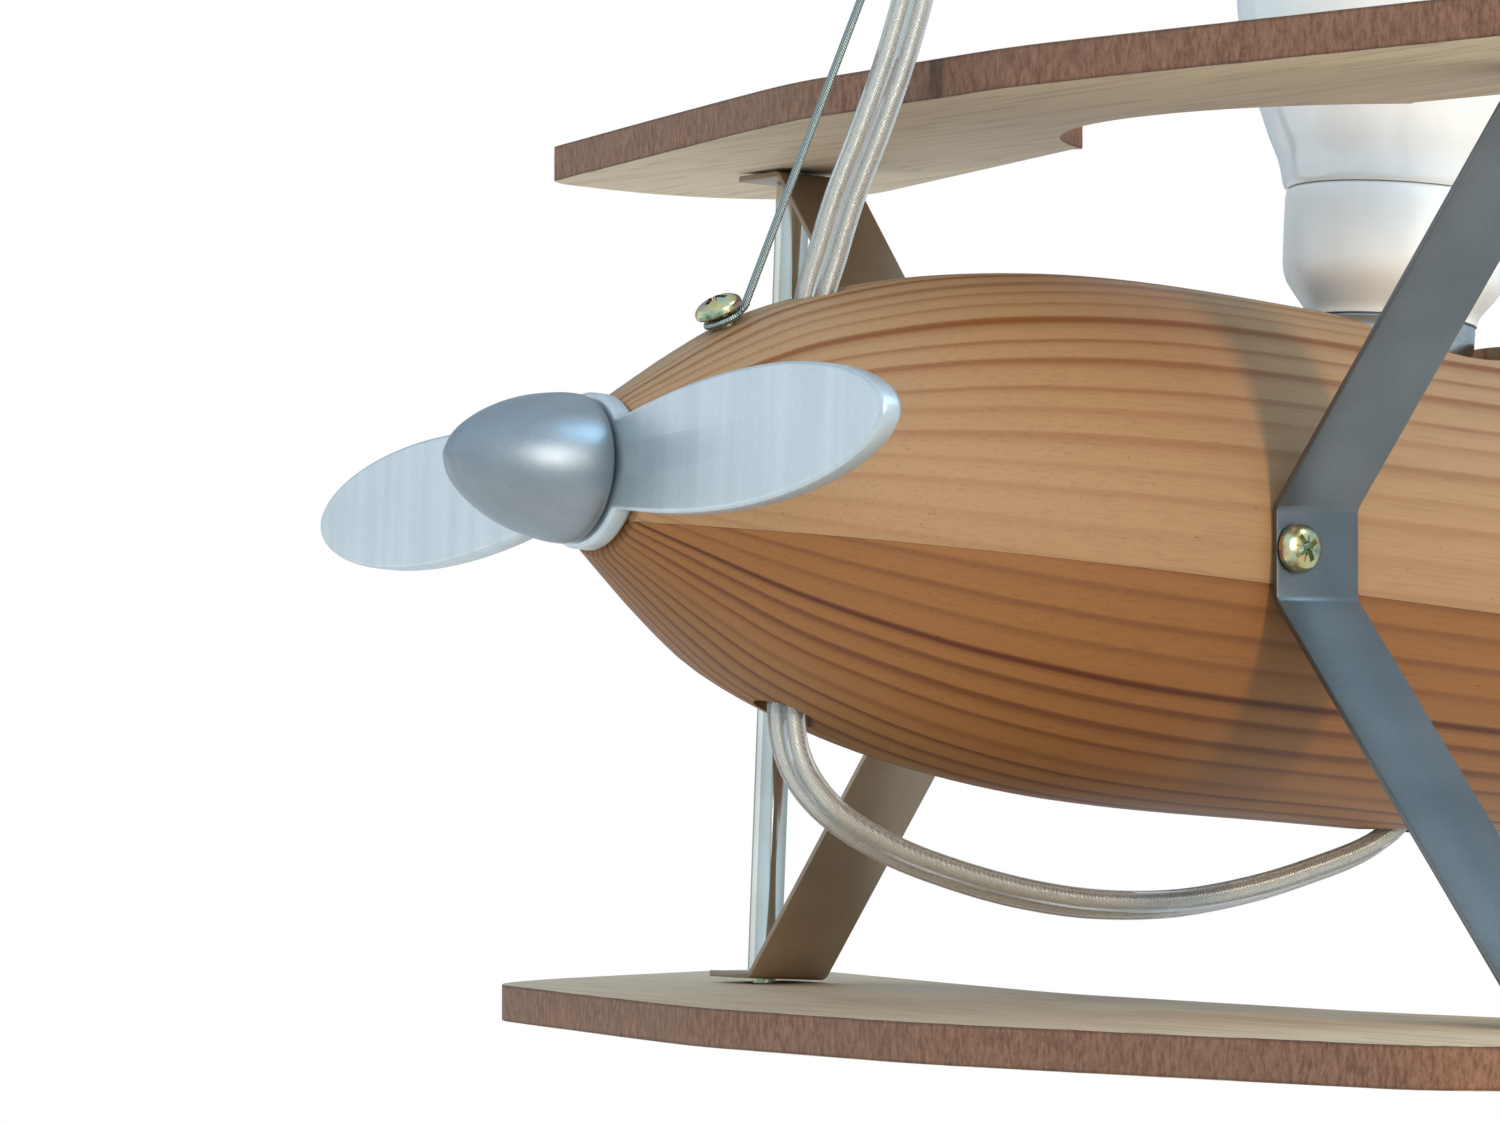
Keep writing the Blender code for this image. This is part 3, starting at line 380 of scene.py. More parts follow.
def silver_paint(name, dark, light, roughness):
    shader = Shader(name, Metallic=0.8)
    grit = shader.noise(shader.place(), 2.2, 4.0, 0.7)
    sweep = shader.noise(shader.place((0.35, 0.02, 0.1)), 1.0, 3.0, 0.5)
    base = shader.mix(shader.ramp(sweep, [(0.35, 0.0), (0.65, 1.0)]), dark, light)
    shader.set("Base Color", shader.mix(0.35, base, shader.ramp(grit, [(0.3, 0.75), (0.6, 1.0)]), "MULTIPLY"))
    shader.set("Roughness", shader.math("MULTIPLY_ADD", grit, 0.16, roughness))
    shader.bump(grit, 0.03, 0.35)
    return shader.material


def metal(name, colour, worn, roughness, stretch=(0.05, 1.6, 1.6), depth=0.01, metallic=1.0):
    """Plain or plated metal with rolling or turning marks along one axis and a faint change of tone."""
    shader = Shader(name, Metallic=metallic)
    marks = shader.noise(shader.place(stretch), 1.0, 4.0, 0.65)
    tone = shader.noise(shader.place((0.05, 0.05, 0.05)), 1.0, 2.0)
    base = shader.mix(shader.ramp(tone, [(0.35, 0.0), (0.65, 1.0)]), colour, worn)
    shader.set("Base Color", shader.mix(0.25, base, shader.ramp(marks, [(0.3, 0.6), (0.6, 1.0)]), "MULTIPLY"))
    shader.set("Roughness", shader.math("MULTIPLY_ADD", marks, roughness * 0.5, roughness * 0.75))
    shader.bump(marks, depth, 0.4)
    return shader.material


def yellow_zinc():
    """Yellow passivated zinc, with the green and violet bloom that the plating has."""
    shader = Shader("yellow_zinc", Metallic=1.0)
    bloom = shader.noise(shader.place((0.32, 0.32, 0.32)), 1.0, 2.0, 0.6)
    stops = [(0.30, srgb(150, 122, 150)), (0.42, srgb(206, 178, 120)), (0.52, srgb(196, 190, 150))]
    stops += [(0.62, srgb(150, 176, 150)), (0.72, srgb(206, 160, 110))]
    shader.set("Base Color", shader.ramp(bloom, stops))
    grit = shader.noise(shader.place(), 1.2, 3.0)
    shader.set("Roughness", shader.math("MULTIPLY_ADD", grit, 0.16, 0.14))
    shader.bump(grit, 0.01, 0.3)
    return shader.material


def plastic(name, colour, roughness, grain=0.02, **sockets):
    """Moulded plastic, paint or glaze: an even colour with a slight mottle and a fine surface texture."""
    shader = Shader(name, **sockets)
    mottle = shader.noise(shader.place((0.06, 0.06, 0.06)), 1.0, 3.0)
    darker = tuple(0.90 * value for value in colour[:3]) + (1.0,)
    shader.set("Base Color", shader.mix(shader.ramp(mottle, [(0.35, 0.0), (0.7, 1.0)]), colour, darker))
    fine = shader.noise(shader.place(), 1.5, 4.0, 0.7)
    shader.set("Roughness", shader.math("MULTIPLY_ADD", fine, 0.12, roughness - 0.06))
    shader.bump(fine, grain, 0.3)
    return shader.material


def strand_metal(name, colour, lay, shade):
    """Fine stranded wire, slanted across the lay: a painted highlight along every strand and painted shade in
    the grooves between them, the same stripes also raising a bump.
    """
    shader = Shader(name, Metallic=0.9)
    x, y, z = shader.axes(shader.place())
    slant = shader.math("ADD", shader.math("ADD", shader.math("MULTIPLY", x, 1.3), y), z)
    strand = shader.math("SINE", shader.math("MULTIPLY", slant, 2 * math.pi / lay))
    strand = shader.math("MULTIPLY_ADD", strand, 0.5, 0.5)
    # Painted highlight on each strand and painted shade in the grooves between, mixed from the stripe
    # pattern; shade is the groove colour.
    shader.set("Base Color", shader.mix(strand, shade, colour))
    grit = shader.noise(shader.place(), 1.0, 3.0)
    shader.set("Roughness", shader.math("MULTIPLY_ADD", grit, 0.14, 0.22))
    shader.bump(strand, 0.08, 0.6)
    return shader.material


def clear_jacket():
    shader = Shader("clear_jacket", Transmission_Weight=0.8, IOR=1.35)
    haze = shader.noise(shader.place((0.2, 0.2, 0.2)), 1.0, 3.0)
    shader.set("Base Color", shader.mix(haze, srgb(244, 242, 237), srgb(230, 226, 219)))
    shader.set("Roughness", shader.math("MULTIPLY_ADD", haze, 0.10, 0.08))
    shader.bump(haze, 0.02, 0.3)
    return shader.material


make_camera()
make_stage()

RING = 4.7
# The far (starboard) bracket is the same steel as the near one; its brown, half-metallic look is a painted
# reflection of the pine fuselage it faces.
STRIP_LOOKS = {"port": "steel", "starboard": "steel_painted_wood_reflection"}
MATERIALS = {
    "pine_upper": pine("pine_upper", RING, srgb(169, 131, 93), srgb(124, 70, 28), srgb(170, 133, 95),
                       0.012, 20, [(0.0, 0.12), (0.35, 0.65), (0.7, 1.0)]),
    "pine_lower": pine("pine_lower", RING, srgb(144, 96, 52), srgb(86, 44, 20), srgb(147, 99, 56),
                       -0.016, 75, [(0.0, 1.0)]),
    "plywood": plywood("plywood"),
    "banded_plywood": plywood("banded_plywood", 9.5),
    "fin_plywood": plywood("fin_plywood", face_axis=0),
    "silver_paint": silver_paint("silver_paint", srgb(196, 201, 202), srgb(204, 209, 210), 0.30),
    "spinner_paint": silver_paint("spinner_paint", srgb(140, 145, 149), srgb(148, 153, 157), 0.29),
    "steel": metal("steel", srgb(118, 120, 120), srgb(104, 107, 108), 0.36, metallic=0.9),
    # A brown, half-metallic copy of the steel: a painted reflection of the wood, used for the far bracket.
    "steel_painted_wood_reflection": metal("steel_painted_wood_reflection", srgb(156, 136, 114), srgb(144, 124, 102), 0.44, metallic=0.4),
    "chrome": metal("chrome", srgb(214, 210, 198), srgb(196, 190, 176), 0.10, (0.6, 0.6, 0.03), 0.004),
    "yellow_zinc": yellow_zinc(),
    # Both stranded materials below carry painted strand highlights and painted groove shade.
    "coated_wire": strand_metal("coated_wire", srgb(172, 178, 168), 0.55, srgb(92, 100, 98)),
    "core": strand_metal("core", srgb(236, 232, 222), 0.62, srgb(184, 178, 168)),
    "clear_lead": clear_jacket(),
    "white_plastic": plastic("white_plastic", srgb(252, 250, 244), 0.30),
    "opal_glass": plastic("opal_glass", srgb(252, 251, 247), 0.16, 0.004, Coat_Weight=0.4,
                          Subsurface_Weight=0.0),
    "bulb_metal": metal("bulb_metal", srgb(206, 206, 204), srgb(186, 186, 184), 0.22, (0.3, 0.3, 2.0)),
    "black_plastic": plastic("black_plastic", srgb(38, 37, 36), 0.38),
    "ceramic": plastic("ceramic", srgb(226, 222, 208), 0.24, 0.03, Coat_Weight=0.5),
    "brass": metal("brass", srgb(206, 172, 104), srgb(186, 150, 88), 0.24),
    "white_paint": plastic("white_paint", srgb(238, 238, 235), 0.36, 0.05),
}


# ---------------------------------------------------------------- mesh helpers

def mesh_object(name, vertices, faces, matrix=None):
    mesh = bpy.data.meshes.new(name)
    mesh.from_pydata([tuple(MM * value for value in vertex) for vertex in vertices], [], faces)
    mesh.update()
    obj = bpy.data.objects.new(name, mesh)
    bpy.context.scene.collection.objects.link(obj)
    if matrix is not None:
        obj.matrix_world = matrix
    return obj


def revolve(name, profile, matrix, steps=96, closed=False):
    """A turned piece about local Z from (radius, height) pairs, the outer side from top to bottom."""
    vertices = []
    rings = []
    for radius, height in profile:
        first = len(vertices)
        if radius < 1e-6:
            vertices.append((0.0, 0.0, height))
            rings.append([first] * steps)
            continue
        for i in range(steps):
            angle = 2 * math.pi * i / steps
            vertices.append((radius * math.cos(angle), radius * math.sin(angle), height))
        rings.append(list(range(first, first + steps)))
    faces = []
    pairs = list(zip(rings, rings[1:]))
    if closed:
        pairs.append((rings[-1], rings[0]))
    for above, below in pairs:
        for i in range(steps):
            j = (i + 1) % steps
            corners = []
            for corner in (above[i], below[i], below[j], above[j]):
                if corner not in corners:
                    corners.append(corner)
            if len(corners) > 2:
                faces.append(corners)
    return mesh_object(name, vertices, faces, matrix)


def plate(name, outlines, thickness, matrix, edge=0.3, rounds=3):
    """A flat piece in local XY about its middle plane, with a rounded edge: the rim first, then any holes."""
    curve = bpy.data.curves.new(name, "CURVE")
    curve.dimensions = "2D"
    curve.fill_mode = "BOTH"
    curve.extrude = MM * (thickness / 2 - edge)
    curve.bevel_depth = MM * edge
    curve.bevel_resolution = rounds
    curve.offset = -MM * edge
    for outline in outlines:
        spline = curve.splines.new("POLY")
        spline.points.add(len(outline) - 1)
        for point, (x, y) in zip(spline.points, outline):
            point.co = (MM * x, MM * y, 0.0, 1.0)
        spline.use_cyclic_u = True
    guide = bpy.data.objects.new(name, curve)
    bpy.context.scene.collection.objects.link(guide)
    bpy.context.view_layer.update()
    mesh = bpy.data.meshes.new_from_object(guide.evaluated_get(bpy.context.evaluated_depsgraph_get()))
    bpy.data.objects.remove(guide)
    work = bmesh.new()
    work.from_mesh(mesh)
    bmesh.ops.remove_doubles(work, verts=work.verts, dist=0.000001)
    bmesh.ops.recalc_face_normals(work, faces=work.faces)
    work.to_mesh(mesh)
    work.free()
    mesh.materials.clear()
    obj = bpy.data.objects.new(name, mesh)
    bpy.context.scene.collection.objects.link(obj)
    obj.matrix_world = matrix
    return obj


def box(name, size, matrix):
    half = [side / 2 for side in size]
    vertices = [(x * half[0], y * half[1], z * half[2]) for z in (-1, 1) for y in (-1, 1) for x in (-1, 1)]
    faces = [(0, 2, 3, 1), (4, 5, 7, 6), (0, 1, 5, 4), (2, 6, 7, 3), (0, 4, 6, 2), (1, 3, 7, 5)]
    return mesh_object(name, vertices, faces, matrix)


def circle(radius, count=48, centre=(0.0, 0.0)):
    angles = [2 * math.pi * i / count for i in range(count)]
    return [(centre[0] + radius * math.cos(a), centre[1] + radius * math.sin(a)) for a in angles]


def smooth(points, pieces=6, closed=False):
    """Points along a Catmull-Rom curve through the given ones."""
    knots = [Vector(point) for point in points]
    if closed:
        knots = [knots[-1]] + knots + knots[:2]
    else:
        knots = [2 * knots[0] - knots[1]] + knots + [2 * knots[-1] - knots[-2]]
    fine = []
    for a, b, c, d in zip(knots, knots[1:], knots[2:], knots[3:]):
        for step in range(pieces):
            t = step / pieces
            fine.append(0.5 * (2 * b + (c - a) * t + (2 * a - 5 * b + 4 * c - d) * t * t
                               + (3 * b - a - 3 * c + d) * t ** 3))
    if not closed:
        fine.append(knots[-2])
    return fine


def sweep(name, path, section, matrix, across=None):
    """A section of (width, thickness) points drawn along a path; across(t) gives the width's direction."""
    points = [Vector(point) for point in path]
    count = len(points)
    side = Vector((1, 0, 0))
    vertices = []
    for i, point in enumerate(points):
        tangent = (points[min(i + 1, count - 1)] - points[max(i - 1, 0)]).normalized()
        if across:
            side = Vector(across(i / (count - 1)))
        side = side - side.dot(tangent) * tangent
        if side.length < 1e-6:
            side = tangent.orthogonal()
        side.normalize()
        other = tangent.cross(side)
        vertices += [tuple(point + w * side + t * other) for w, t in section]
    size = len(section)
    faces = []
    for i in range(count - 1):
        for j in range(size):
            k = (j + 1) % size
            faces.append((i * size + j, i * size + k, (i + 1) * size + k, (i + 1) * size + j))
    faces.append(tuple(reversed(range(size))))
    faces.append(tuple((count - 1) * size + j for j in range(size)))
    return mesh_object(name, vertices, faces, matrix)


def apply_modifiers(obj):
    bpy.context.view_layer.update()
    mesh = bpy.data.meshes.new_from_object(obj.evaluated_get(bpy.context.evaluated_depsgraph_get()))
    obj.modifiers.clear()
    obj.data = mesh


def cut(obj, *tools):
    """Takes the tools out of the piece and removes them."""
    for tool in tools:
        modifier = obj.modifiers.new(tool.name, "BOOLEAN")
        modifier.operation = "DIFFERENCE"
        modifier.solver = "EXACT"
        modifier.object = tool
    apply_modifiers(obj)
    for tool in tools:
        bpy.data.objects.remove(tool)


def finish(obj, body, slot, *nodes, material=None, angle=35.0):
    obj.data.materials.clear()
    obj.data.materials.append(MATERIALS[material or slot])
    obj.data.shade_smooth()
    obj.data.set_sharp_from_angle(angle=math.radians(angle))
    if nodes:
        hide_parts(*nodes)
    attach(obj, body)
    return obj


# ---------------------------------------------------------------- fuselage

def fuselage_radius(station):
    knots = STATIONS
    for i in range(len(knots) - 1):
        (s1, r1), (s2, r2) = knots[i], knots[i + 1]
        if s1 >= station >= s2:
            s0, r0 = knots[max(i - 1, 0)]
            s3, r3 = knots[min(i + 2, len(knots) - 1)]
            m1 = (r2 - r0) / (s2 - s0)
            m2 = (r3 - r1) / (s3 - s1)
            h = s2 - s1
            t = (station - s1) / h
            return ((2 * t ** 3 - 3 * t ** 2 + 1) * r1 + (t ** 3 - 2 * t ** 2 + t) * h * m1
                    + (3 * t ** 2 - 2 * t ** 3) * r2 + (t ** 3 - t ** 2) * h * m2)
    return 0.0


def fuselage_body(name):
    count = 96
    front = NOSE_FACE - 1.0
    stations = [front + (TAIL_END - front) * i / count for i in range(count + 1)]
    nose = fuselage_radius(front)
    profile = [(0.0, NOSE_FACE), (nose - 1.6, NOSE_FACE), (nose - 0.7, NOSE_FACE - 0.25)]
    profile += [(fuselage_radius(s), s) for s in stations]
    profile += [(3.6, TAIL_END - 1.2), (1.8, TAIL_END - 1.8), (0.0, TAIL_END - 2.0)]
    return revolve(name, profile, AXIS, 144)


def rod_tool(name, radius, low, high, matrix, steps=48):
    return revolve(name, [(0.0, high), (radius, high), (radius, low), (0.0, low)], matrix, steps)


def make_fuselage():
    upper = fuselage_body("pine_block_upper")
    lower = fuselage_body("pine_block_lower")
    seam = at(AXIS, 0, -SEAM_DROP, 0, turn_x=-SEAM_TILT)
    below = box("below", (120, 120, 460), at(seam, 0, -60 + 0.02, -70))
    above = box("above", (120, 120, 460), at(seam, 0, 60 - 0.02, -70))
    bores = []
    for word in ("upper", "lower"):
        bores.append([
            rod_tool("lead_" + word, 4.6, -60.0, 60.0, at(AXIS, 0, 0, CABLE_BORE_AT, turn_x=90)),
            rod_tool("well_" + word, 21.0, -20.0, 60.0, LAMP, 72),
            rod_tool("feed_" + word, 5.5, -14.0, 30.0, at(AIRFRAME, 0, 50.5, -41.3, turn_x=-29)),
        ])
    slots = [
        box("tail_slot", (90, 6.2, 60), at(AXIS, 0, 0, -219.0)),
        box("fin_slot", (6.2, 40, 70), at(AXIS, 0, 24.6, -218.0)),
        rod_tool("shaft_bore", 1.8, 70.0, 110.0, at(AXIS, 0, PROP_RISE, 0)),
        rod_tool("side_bore", 2.0, -60.0, 60.0, at(AIRFRAME, 0, 0, 0, turn_y=90)),
    ]
    cut(upper, below, *bores[0], *slots)
    cut(lower, above, *bores[1])
    finish(upper, "airframe", "pine_upper", "fuselage_upper", angle=30)
    finish(lower, "airframe", "pine_lower", "fuselage_lower", angle=30)


# ---------------------------------------------------------------- nose

def blade_half_width(radius):
    if radius < BLADE_WIDEST:
        return BLADE_WIDTH / 2 - 0.00302 * (BLADE_WIDEST - radius) ** 2
    reach = (radius - BLADE_WIDEST) / (BLADE_REACH - BLADE_WIDEST)
    return BLADE_WIDTH / 2 * math.sqrt(max(0.0, 1 - reach * reach))


def propeller_outline():
    inner = [10.0 + 2.0 * i for i in range(16)]
    sweep_angles = [math.radians(90 - 3.75 * i) for i in range(1, 25)]
    outer = [BLADE_WIDEST + (BLADE_REACH - BLADE_WIDEST) * math.cos(a) for a in sweep_angles]
    radii = inner + [BLADE_WIDEST] + outer
    edge = [(r, blade_half_width(r)) for r in radii]
    blade = [(r, -w) for r, w in edge] + [(r, w) for r, w in reversed(edge[:-1])]
    start = math.degrees(math.atan2(blade_half_width(10.0), 10.0)) + 3
    arc = [math.radians(start + (180 - 2 * start) * i / 20) for i in range(21)]
    crown = [(HUB_RADIUS * math.cos(a), HUB_RADIUS * math.sin(a)) for a in arc]
    half = blade + crown
    return half + [(-x, -y) for x, y in half]


def make_nose():
    propeller = plate("propeller_blades", [propeller_outline(), circle(1.8)], PROP_THICKNESS, TURN, 0.7, 4)
    finish(propeller, "propeller", "silver_paint", "propeller", angle=50)
    base = PROP_THICKNESS / 2 + 0.25
    ogive = [(0.0, 22.3), (0.5, 22.15), (1.1, 21.8), (1.9, 21.3), (3.4, 20.3), (4.7, 19.1), (6.1, 17.3)]
    ogive += [(7.4, 15.2), (8.7, 12.5), (9.7, 9.6), (10.35, 6.7), (10.75, 3.9), (10.8, 1.6), (10.5, 0.4)]
    dome = [(max(0.0, p.x), base + p.y) for p in smooth([Vector(point) for point in ogive], 4)]
    dome += [(10.0, base), (1.8, base), (1.8, base + 11.9), (0.0, base + 11.9)]
    spinner = revolve("spinner_dome", dome, TURN, 96)
    finish(spinner, "propeller", "silver_paint", "spinner", material="spinner_paint", angle=50)


def screw_seat(station):
    slope = (fuselage_radius(station + 2) - fuselage_radius(station - 2)) / 4
    lean = math.degrees(math.atan(slope))
    return at(AXIS, 0, fuselage_radius(station), station, turn_x=-90 - lean)


def pan_screw(name, node, body, matrix, seat, tip, turn, shank=1.75, head=3.6, height=2.5):
    """A pan-head screw along local Z with a cross recess and its small second cross."""
    angles = [0, 8, 16, 24, 32, 40, 48, 56, 64, 72, 80, 86, 90]
    dome = [(head * math.sin(math.radians(a)), seat + 0.8 + (height - 0.8) * math.cos(math.radians(a)))
            for a in angles]
    profile = dome + [(head, seat + 0.25), (head - 0.25, seat), (shank, seat), (shank, tip + 4.0), (0.0, tip)]
    screw = revolve(name, profile, matrix, 64)
    top = seat + height
    tools = []
    for i in range(2):
        tools.append(box("slot", (4.3, 0.85, 2.6), at(matrix, 0, 0, top, turn_z=turn + 90 * i)))
        tools.append(box("tick", (4.0, 0.22, 0.9), at(matrix, 0, 0, top, turn_z=turn + 45 + 90 * i)))
    cone = [(0.0, top + 1.0), (1.35, top + 1.0), (0.5, top - 1.5), (0.0, top - 1.6)]
    tools.append(revolve("cone", cone, matrix, 24))
    cut(screw, *tools)
    finish(screw, body, "yellow_zinc", node, angle=30)


def make_screws():
    seat = fuselage_radius(0.0) + 0.6 + STRIP_THICKNESS
    pan_screw("nose_screw", "front_hang_screw", "airframe", screw_seat(FRONT_SCREW_AT), 2.0, -20.0, 20, 1.6)
    pan_screw("tail_screw", "rear_hang_screw", "airframe", screw_seat(REAR_SCREW_AT), 2.0, -11.0, 50, 1.6)
    pan_screw("port_screw", "side_screw_port", "airframe", at(AIRFRAME, 0, 0, 0, turn_y=90), seat, 18.0, 32)
    pan_screw("starboard_screw", "side_screw_starboard", "airframe", at(AIRFRAME, 0, 0, 0, turn_y=-90),
              seat, 18.0, 5)


# ---------------------------------------------------------------- wings and tail

def leading_edge(x, centre):
    beyond = max(0.0, abs(x) - 22.0)
    return centre + 0.21 * (math.hypot(beyond, 12.0) - 12.0)


def rear_edge(x, x1, y1, slope, flat, soft=14.0):
    beyond = max(0.0, abs(x) - flat)
    start = y1 - slope * (math.hypot(x1 - flat, soft) - soft)
    return start + slope * (math.hypot(beyond, soft) - soft)


def wing_outline(centre, tip, middle):
    limit = tip[0][0] - 4
    front = [(4.0 * i, leading_edge(4.0 * i, centre)) for i in range(1, 40) if 4.0 * i < limit]
    round_tip = [(p.x, p.y) for p in smooth([Vector(point) for point in tip], 6)]
    half = front + round_tip + middle
    return half + [(-x, y) for x, y in reversed(half) if x > 0.01]


def cutout():
    start = 33.0
    angles = [math.radians(start + (90 - start) * i / 24) for i in range(25)]
    return [(CUTOUT_RADIUS * math.cos(a), CUTOUT_CENTRE - CUTOUT_RADIUS * math.sin(a)) for a in angles]


def rod_setback(side, level):
    if side > 0:
        return STRIP_MIDDLE
    return STRIP_MIDDLE + STARBOARD_SHIFT + level * math.tan(math.radians(STARBOARD_LEAN))


def make_wings():
    upper = wing_outline(-42.0, UPPER_TIP, [(43.2, 20.4)] + cutout())
    back = [(x, rear_edge(x, 116.0, 30.2, 0.2, 30.0)) for x in range(112, 3, -4)]
    lower = wing_outline(-59.5, LOWER_TIP, back)
    for node, outline, level in (("upper_wing", upper, UPPER_WING_Z), ("lower_wing", lower, LOWER_WING_Z)):
        holes = [circle(ROD_RADIUS + 0.3, 32, (side * ROD_X, rod_setback(side, level))) for side in (1, -1)]
        wing = plate("ply_" + node, [outline] + holes, PLY, at(AIRFRAME, 0, 0, level), 0.25, 2)
        look = "banded_plywood" if node == "upper_wing" else "plywood"
        finish(wing, "wing_cell", "plywood", node, material=look, angle=30)


def make_tail():
    plane = [(0, -190.2), (14, -190.2), (34, -193), (48, -198), (55, -205), (57.5, -214), (55, -224)]
    plane += [(47, -231), (34, -234), (14, -235), (0, -235)]
    half = [(p.x, p.y) for p in smooth([Vector(point) for point in plane], 5)]
    outline = half + [(-x, s) for x, s in reversed(half[1:-1])]
    tailplane = plate("tail_plane", [outline], PLY, at(AXIS, 0, 0, 0, turn_x=90), 0.3, 2)
    finish(tailplane, "airframe", "plywood", "tailplane", angle=30)
    curve = [(-186.0, 19.4), (-190.0, 28.0), (-197.0, 40.0), (-205.0, 49.0), (-215.0, 54.0), (-226.0, 54.5)]
    curve += [(-233.0, 50.0), (-236.0, 42.0)]
    fin = [(p.x, p.y) for p in smooth([Vector(point) for point in curve], 5)] + [(-236.0, 5.0), (-186.0, 5.0)]
    blade = plate("tail_fin", [fin], PLY, at(AXIS, 0, 0, 0, turn_y=-90), 0.3, 2)
    finish(blade, "airframe", "plywood", "fin", material="fin_plywood", angle=30)


# ---------------------------------------------------------------- brackets and struts

def bent_line(corners, radius, steps=8):
    """A line through the corners with each one rounded to a bend radius."""
    points = [Vector(corners[0])]
    for before, here, after in zip(corners, corners[1:], corners[2:]):
        before, here, after = Vector(before), Vector(here), Vector(after)
        first = (before - here).normalized()
        last = (after - here).normalized()
        half = first.angle(last) / 2
        reach = radius / math.tan(half)
        start = here + reach * first
        end = here + reach * last
        centre = here + (radius / math.sin(half)) * (first + last).normalized()
        for i in range(steps + 1):
            point = start.lerp(end, i / steps) - centre
            points.append(centre + radius * point.normalized())
    points.append(Vector(corners[-1]))
    return points


def offset_strip(line, thickness):
    sides = ([], [])
    count = len(line)
    for i, here in enumerate(line):
        tangent = (line[min(i + 1, count - 1)] - line[max(i - 1, 0)]).normalized()
        normal = Vector((-tangent.y, tangent.x))
        for side, sign in zip(sides, (1, -1)):
            point = here + sign * thickness / 2 * normal
            side.append((point.x, point.y))
    return sides[0] + list(reversed(sides[1]))


def make_bracket(word, side):
    half = STRIP_THICKNESS / 2
    inner = fuselage_radius(0.0) + 0.3 + half
    slack = (0.0, 0.0) if side > 0 else TAB_SLACK
    bend_x = BEND_X if side > 0 else BEND_X - STARBOARD_BEND
    turn = STRIP_DROP - STRIP_FLAT + (0.0 if side > 0 else STARBOARD_TURN)
    top = UPPER_WING_Z - PLY / 2 - 0.3 - half - slack[0]
    bottom = LOWER_WING_Z + PLY / 2 + 0.3 + half + slack[1]
    corners = [(TAB_END_X, top), (bend_x, top), (inner, STRIP_DROP + STRIP_FLAT)]
    corners += [(inner, turn), (bend_x, bottom), (TAB_END_X, bottom)]
    line = bent_line([(side * x, z) for x, z in corners], 2.2)
    skewed = AIRFRAME if side > 0 else SKEWED
    matrix = at(skewed, 0, STRIP_MIDDLE, 0, turn_x=90)
    strip = plate("strip_" + word, [offset_strip(line, STRIP_THICKNESS)], STRIP_WIDTH, matrix, 0.14, 1)
    screw = rod_tool("screw_hole", 2.1, 30.0, 60.0, at(AIRFRAME, 0, 0, 0, turn_y=side * 90))
    rod = rod_tool("rod_hole", ROD_RADIUS + 0.3, -90.0, 90.0, at(skewed, side * ROD_X, STRIP_MIDDLE, 0))
    cut(strip, screw, rod)
    finish(strip, "wing_cell", "steel", "bracket_" + word, material=STRIP_LOOKS[word], angle=25)


def make_strut(word, side):
    foot = at(AIRFRAME if side > 0 else SKEWED, side * ROD_X, STRIP_MIDDLE, 0)
    slack = (0.0, 0.0) if side > 0 else TAB_SLACK
    high = UPPER_WING_Z - PLY / 2 - 0.6 - STRIP_THICKNESS - slack[0]
    low = LOWER_WING_Z + PLY / 2 + 0.6 + STRIP_THICKNESS + slack[1]
    outer = [(2.3, high), (2.65, high), (TUBE_RADIUS, high - 0.15), (TUBE_RADIUS, low + 0.15), (2.65, low)]
    tube = revolve("tube_" + word, outer + [(2.3, low)], foot, 48, closed=True)
    finish(tube, "wing_cell", "chrome", "strut_tube_" + word)
    seat = UPPER_WING_Z + PLY / 2 + 0.3 + (0.0 if side > 0 else HEAD_SLACK)
    end = LOWER_WING_Z - PLY / 2 - 3.4
    profile = [(0.0, seat + 2.3), (1.2, seat + 2.26), (2.1, seat + 2.0), (2.9, seat + 1.6), (3.4, seat + 1.1)]
    profile += [(3.6, seat + 0.6), (3.6, seat + 0.1), (3.5, seat)]
    profile += [(ROD_RADIUS, seat), (ROD_RADIUS, end + 0.5)]
    profile += [(ROD_RADIUS - 0.5, end), (0.0, end)]
    rod = revolve("rod_" + word, profile, foot, 48)
    top = seat + 2.3
    tools = [box("slot", (4.0, 0.8, 2.0), at(foot, 0, 0, top, turn_z=30 + 90 * i)) for i in range(2)]
    cut(rod, *tools)
    finish(rod, "wing_cell", "yellow_zinc", "tie_rod_" + word)
    hexagon = circle(7.0 / math.sqrt(3), 6)
    nut_middle = LOWER_WING_Z - PLY / 2 - 1.9
    hole = circle(ROD_RADIUS + 0.1, 32)
    nut = plate("nut_" + word, [hexagon, hole], 3.2, at(foot, 0, 0, nut_middle), 0.3, 2)
    finish(nut, "wing_cell", "yellow_zinc", "rod_nut_" + word)


# ---------------------------------------------------------------- bulb

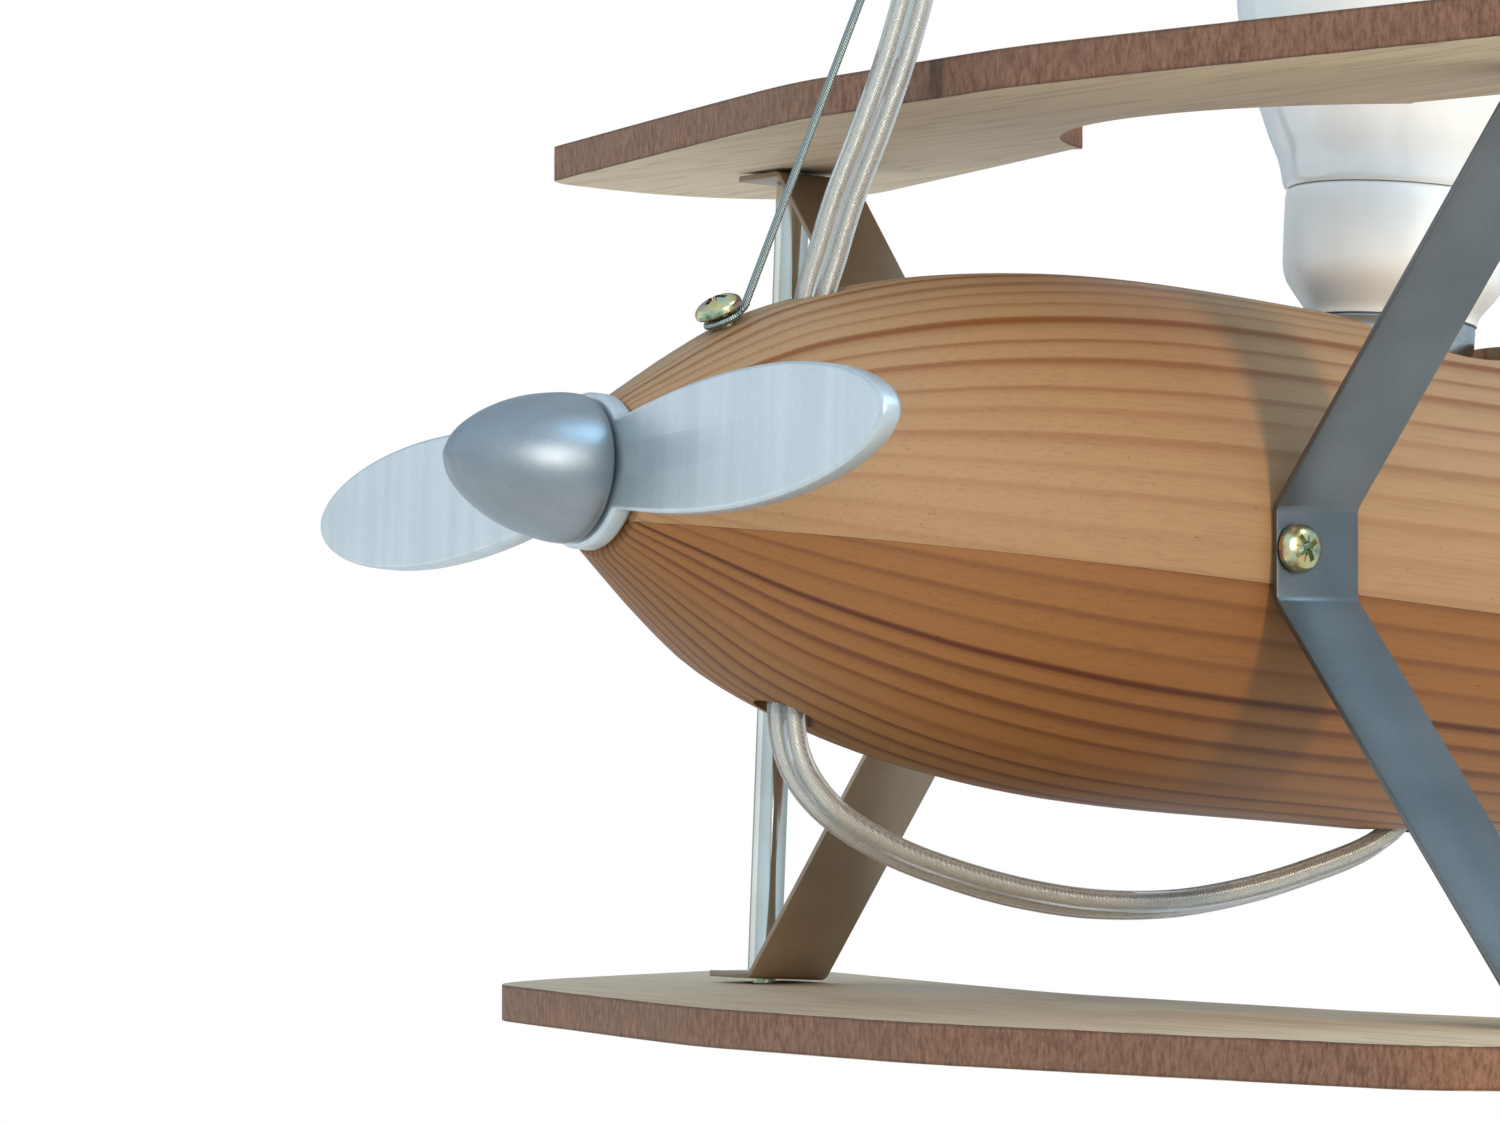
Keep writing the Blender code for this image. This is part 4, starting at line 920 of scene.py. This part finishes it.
def make_bulb():
    housing = [(0.0, 57.0), (14.0, 57.0), (14.0, 59.7), (17.2, 59.7), (17.55, 59.4), (17.7, 58.8)]
    housing += [(17.7, 57.3), (17.6, 53.0), (17.5, 50.1), (17.45, 48.4), (17.2, 46.8), (16.7, 45.5)]
    housing += [(15.9, 44.3), (14.9, 43.0), (13.9, 41.7), (13.5, 41.0), (13.4, 40.4), (13.4, 39.9)]
    housing += [(11.8, 39.9), (11.8, 34.0), (0.0, 34.0)]
    finish(revolve("housing", housing, LAMP, 96), "bulb", "white_plastic", "bulb_housing")
    outside = [(0.0, 119.5), (4.3, 119.0), (9.0, 118.0), (14.8, 115.2), (20.0, 111.0), (23.9, 106.0)]
    outside += [(26.6, 100.0), (27.5, 93.0), (26.9, 86.1), (25.2, 79.0), (22.5, 72.0), (20.8, 67.8)]
    outside += [(19.3, 64.6), (18.6, 62.2), (18.2, 60.6), (17.7, 59.8)]
    outside = [(max(0.0, p.x), p.y) for p in smooth([Vector(point) for point in outside], 4)]
    inside = [(r - 1.1, z - 0.6 * (z - 90) / 30) for r, z in reversed(outside) if r > 1.2 and z > 61]
    profile = outside + [(14.0, 59.8)] + inside + [(0.0, 118.7)]
    finish(revolve("diffuser", profile, LAMP, 96), "bulb", "opal_glass", "bulb_glass")
    rib = []
    for i in range(4):
        z = 18.2 + 4.2 * i
        rib += [(13.05, z), (13.3, z + 0.9), (13.05, z + 1.8), (12.7, z + 2.6), (12.7, z + 3.4)]
    outer = [(r, z) for r, z in reversed(rib)]
    cap = [(0.0, 13.0), (10.6, 15.4), (12.1, 17.4), (12.1, 39.4), (12.2, 39.6), (13.1, 39.6), (13.2, 39.4)]
    cap += [(13.2, 36.2)] + outer + [(13.2, 16.6), (11.4, 13.4), (5.0, 11.8), (4.4, 9.8), (0.0, 9.8)]
    finish(revolve("screw_cap", cap, LAMP, 96), "bulb", "bulb_metal", "bulb_cap")


# ---------------------------------------------------------------- supply lead

LOBE_AT = 1.3
LOBE_RADIUS = 1.7
LEAD_ACROSS = [
    (0.00, (0.54, 0.84, 0.0)), (0.40, (0.54, 0.84, 0.0)), (0.50, (0.86, 0.5, 0.1)),
    (0.60, (1.0, 0.2, 0.2)), (0.68, (0.9, 0.0, 0.42)), (0.90, (0.9, 0.0, 0.42)), (1.0, (1.0, 0.0, 0.0)),
]


def lead_across(t):
    """The direction of the flat lead's width at a fraction of its length."""
    for (t1, a), (t2, b) in zip(LEAD_ACROSS, LEAD_ACROSS[1:]):
        if t <= t2:
            return Vector(a).lerp(Vector(b), (t - t1) / (t2 - t1))
    return Vector(LEAD_ACROSS[-1][1])


def twin_section():
    """Two round lobes side by side, joined by a web: 6.0 wide and 3.4 thick."""
    angles = [math.radians(-135 + 15 * i) for i in range(19)]
    right = [(LOBE_AT + LOBE_RADIUS * math.cos(a), LOBE_RADIUS * math.sin(a)) for a in angles]
    left = [(-x, -y) for x, y in right]
    return right + left


def make_lead():
    path = smooth(SUPPLY_ROUTE, 8)
    jacket = sweep("lead_jacket", path, twin_section(), AIRFRAME, lead_across)
    finish(jacket, "airframe", "clear_lead", "supply_lead", angle=60)
    for word, side in (("live", 1), ("neutral", -1)):
        section = [(side * (LOBE_AT + 0.1) + x, y) for x, y in circle(0.85, 16)]
        core = sweep("core_" + word, path[1:-1], section, AIRFRAME, lead_across)
        finish(core, "airframe", "clear_lead", material="core")


# ---------------------------------------------------------------- carried-over CAD nodes

KEPT = {
    "ceiling_plate": "steel", "hook_nut": "steel", "ceiling_hook": "steel", "hanging_ring": "steel",
    "terminal_block": "white_plastic", "front_wire": "coated_wire", "rear_wire": "coated_wire",
    "front_ferrule": "steel", "rear_ferrule": "steel", "propeller_shaft": "steel",
    "holder_shell": "black_plastic", "holder_insert": "ceramic", "holder_thread": "brass",
    "holder_contact": "brass", "rose_cup": "white_paint", "cord_grip": "white_plastic",
    "cup_collar": "steel", "collar_screw": "yellow_zinc",
}


def dress_kept_nodes():
    for name, material in KEPT.items():
        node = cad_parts[name]
        node.data.materials.clear()
        node.data.materials.append(MATERIALS[material])


make_fuselage()
make_nose()
make_screws()
make_wings()
make_tail()
for word, side in (("port", 1), ("starboard", -1)):
    make_bracket(word, side)
    make_strut(word, side)
make_bulb()
make_lead()
dress_kept_nodes()
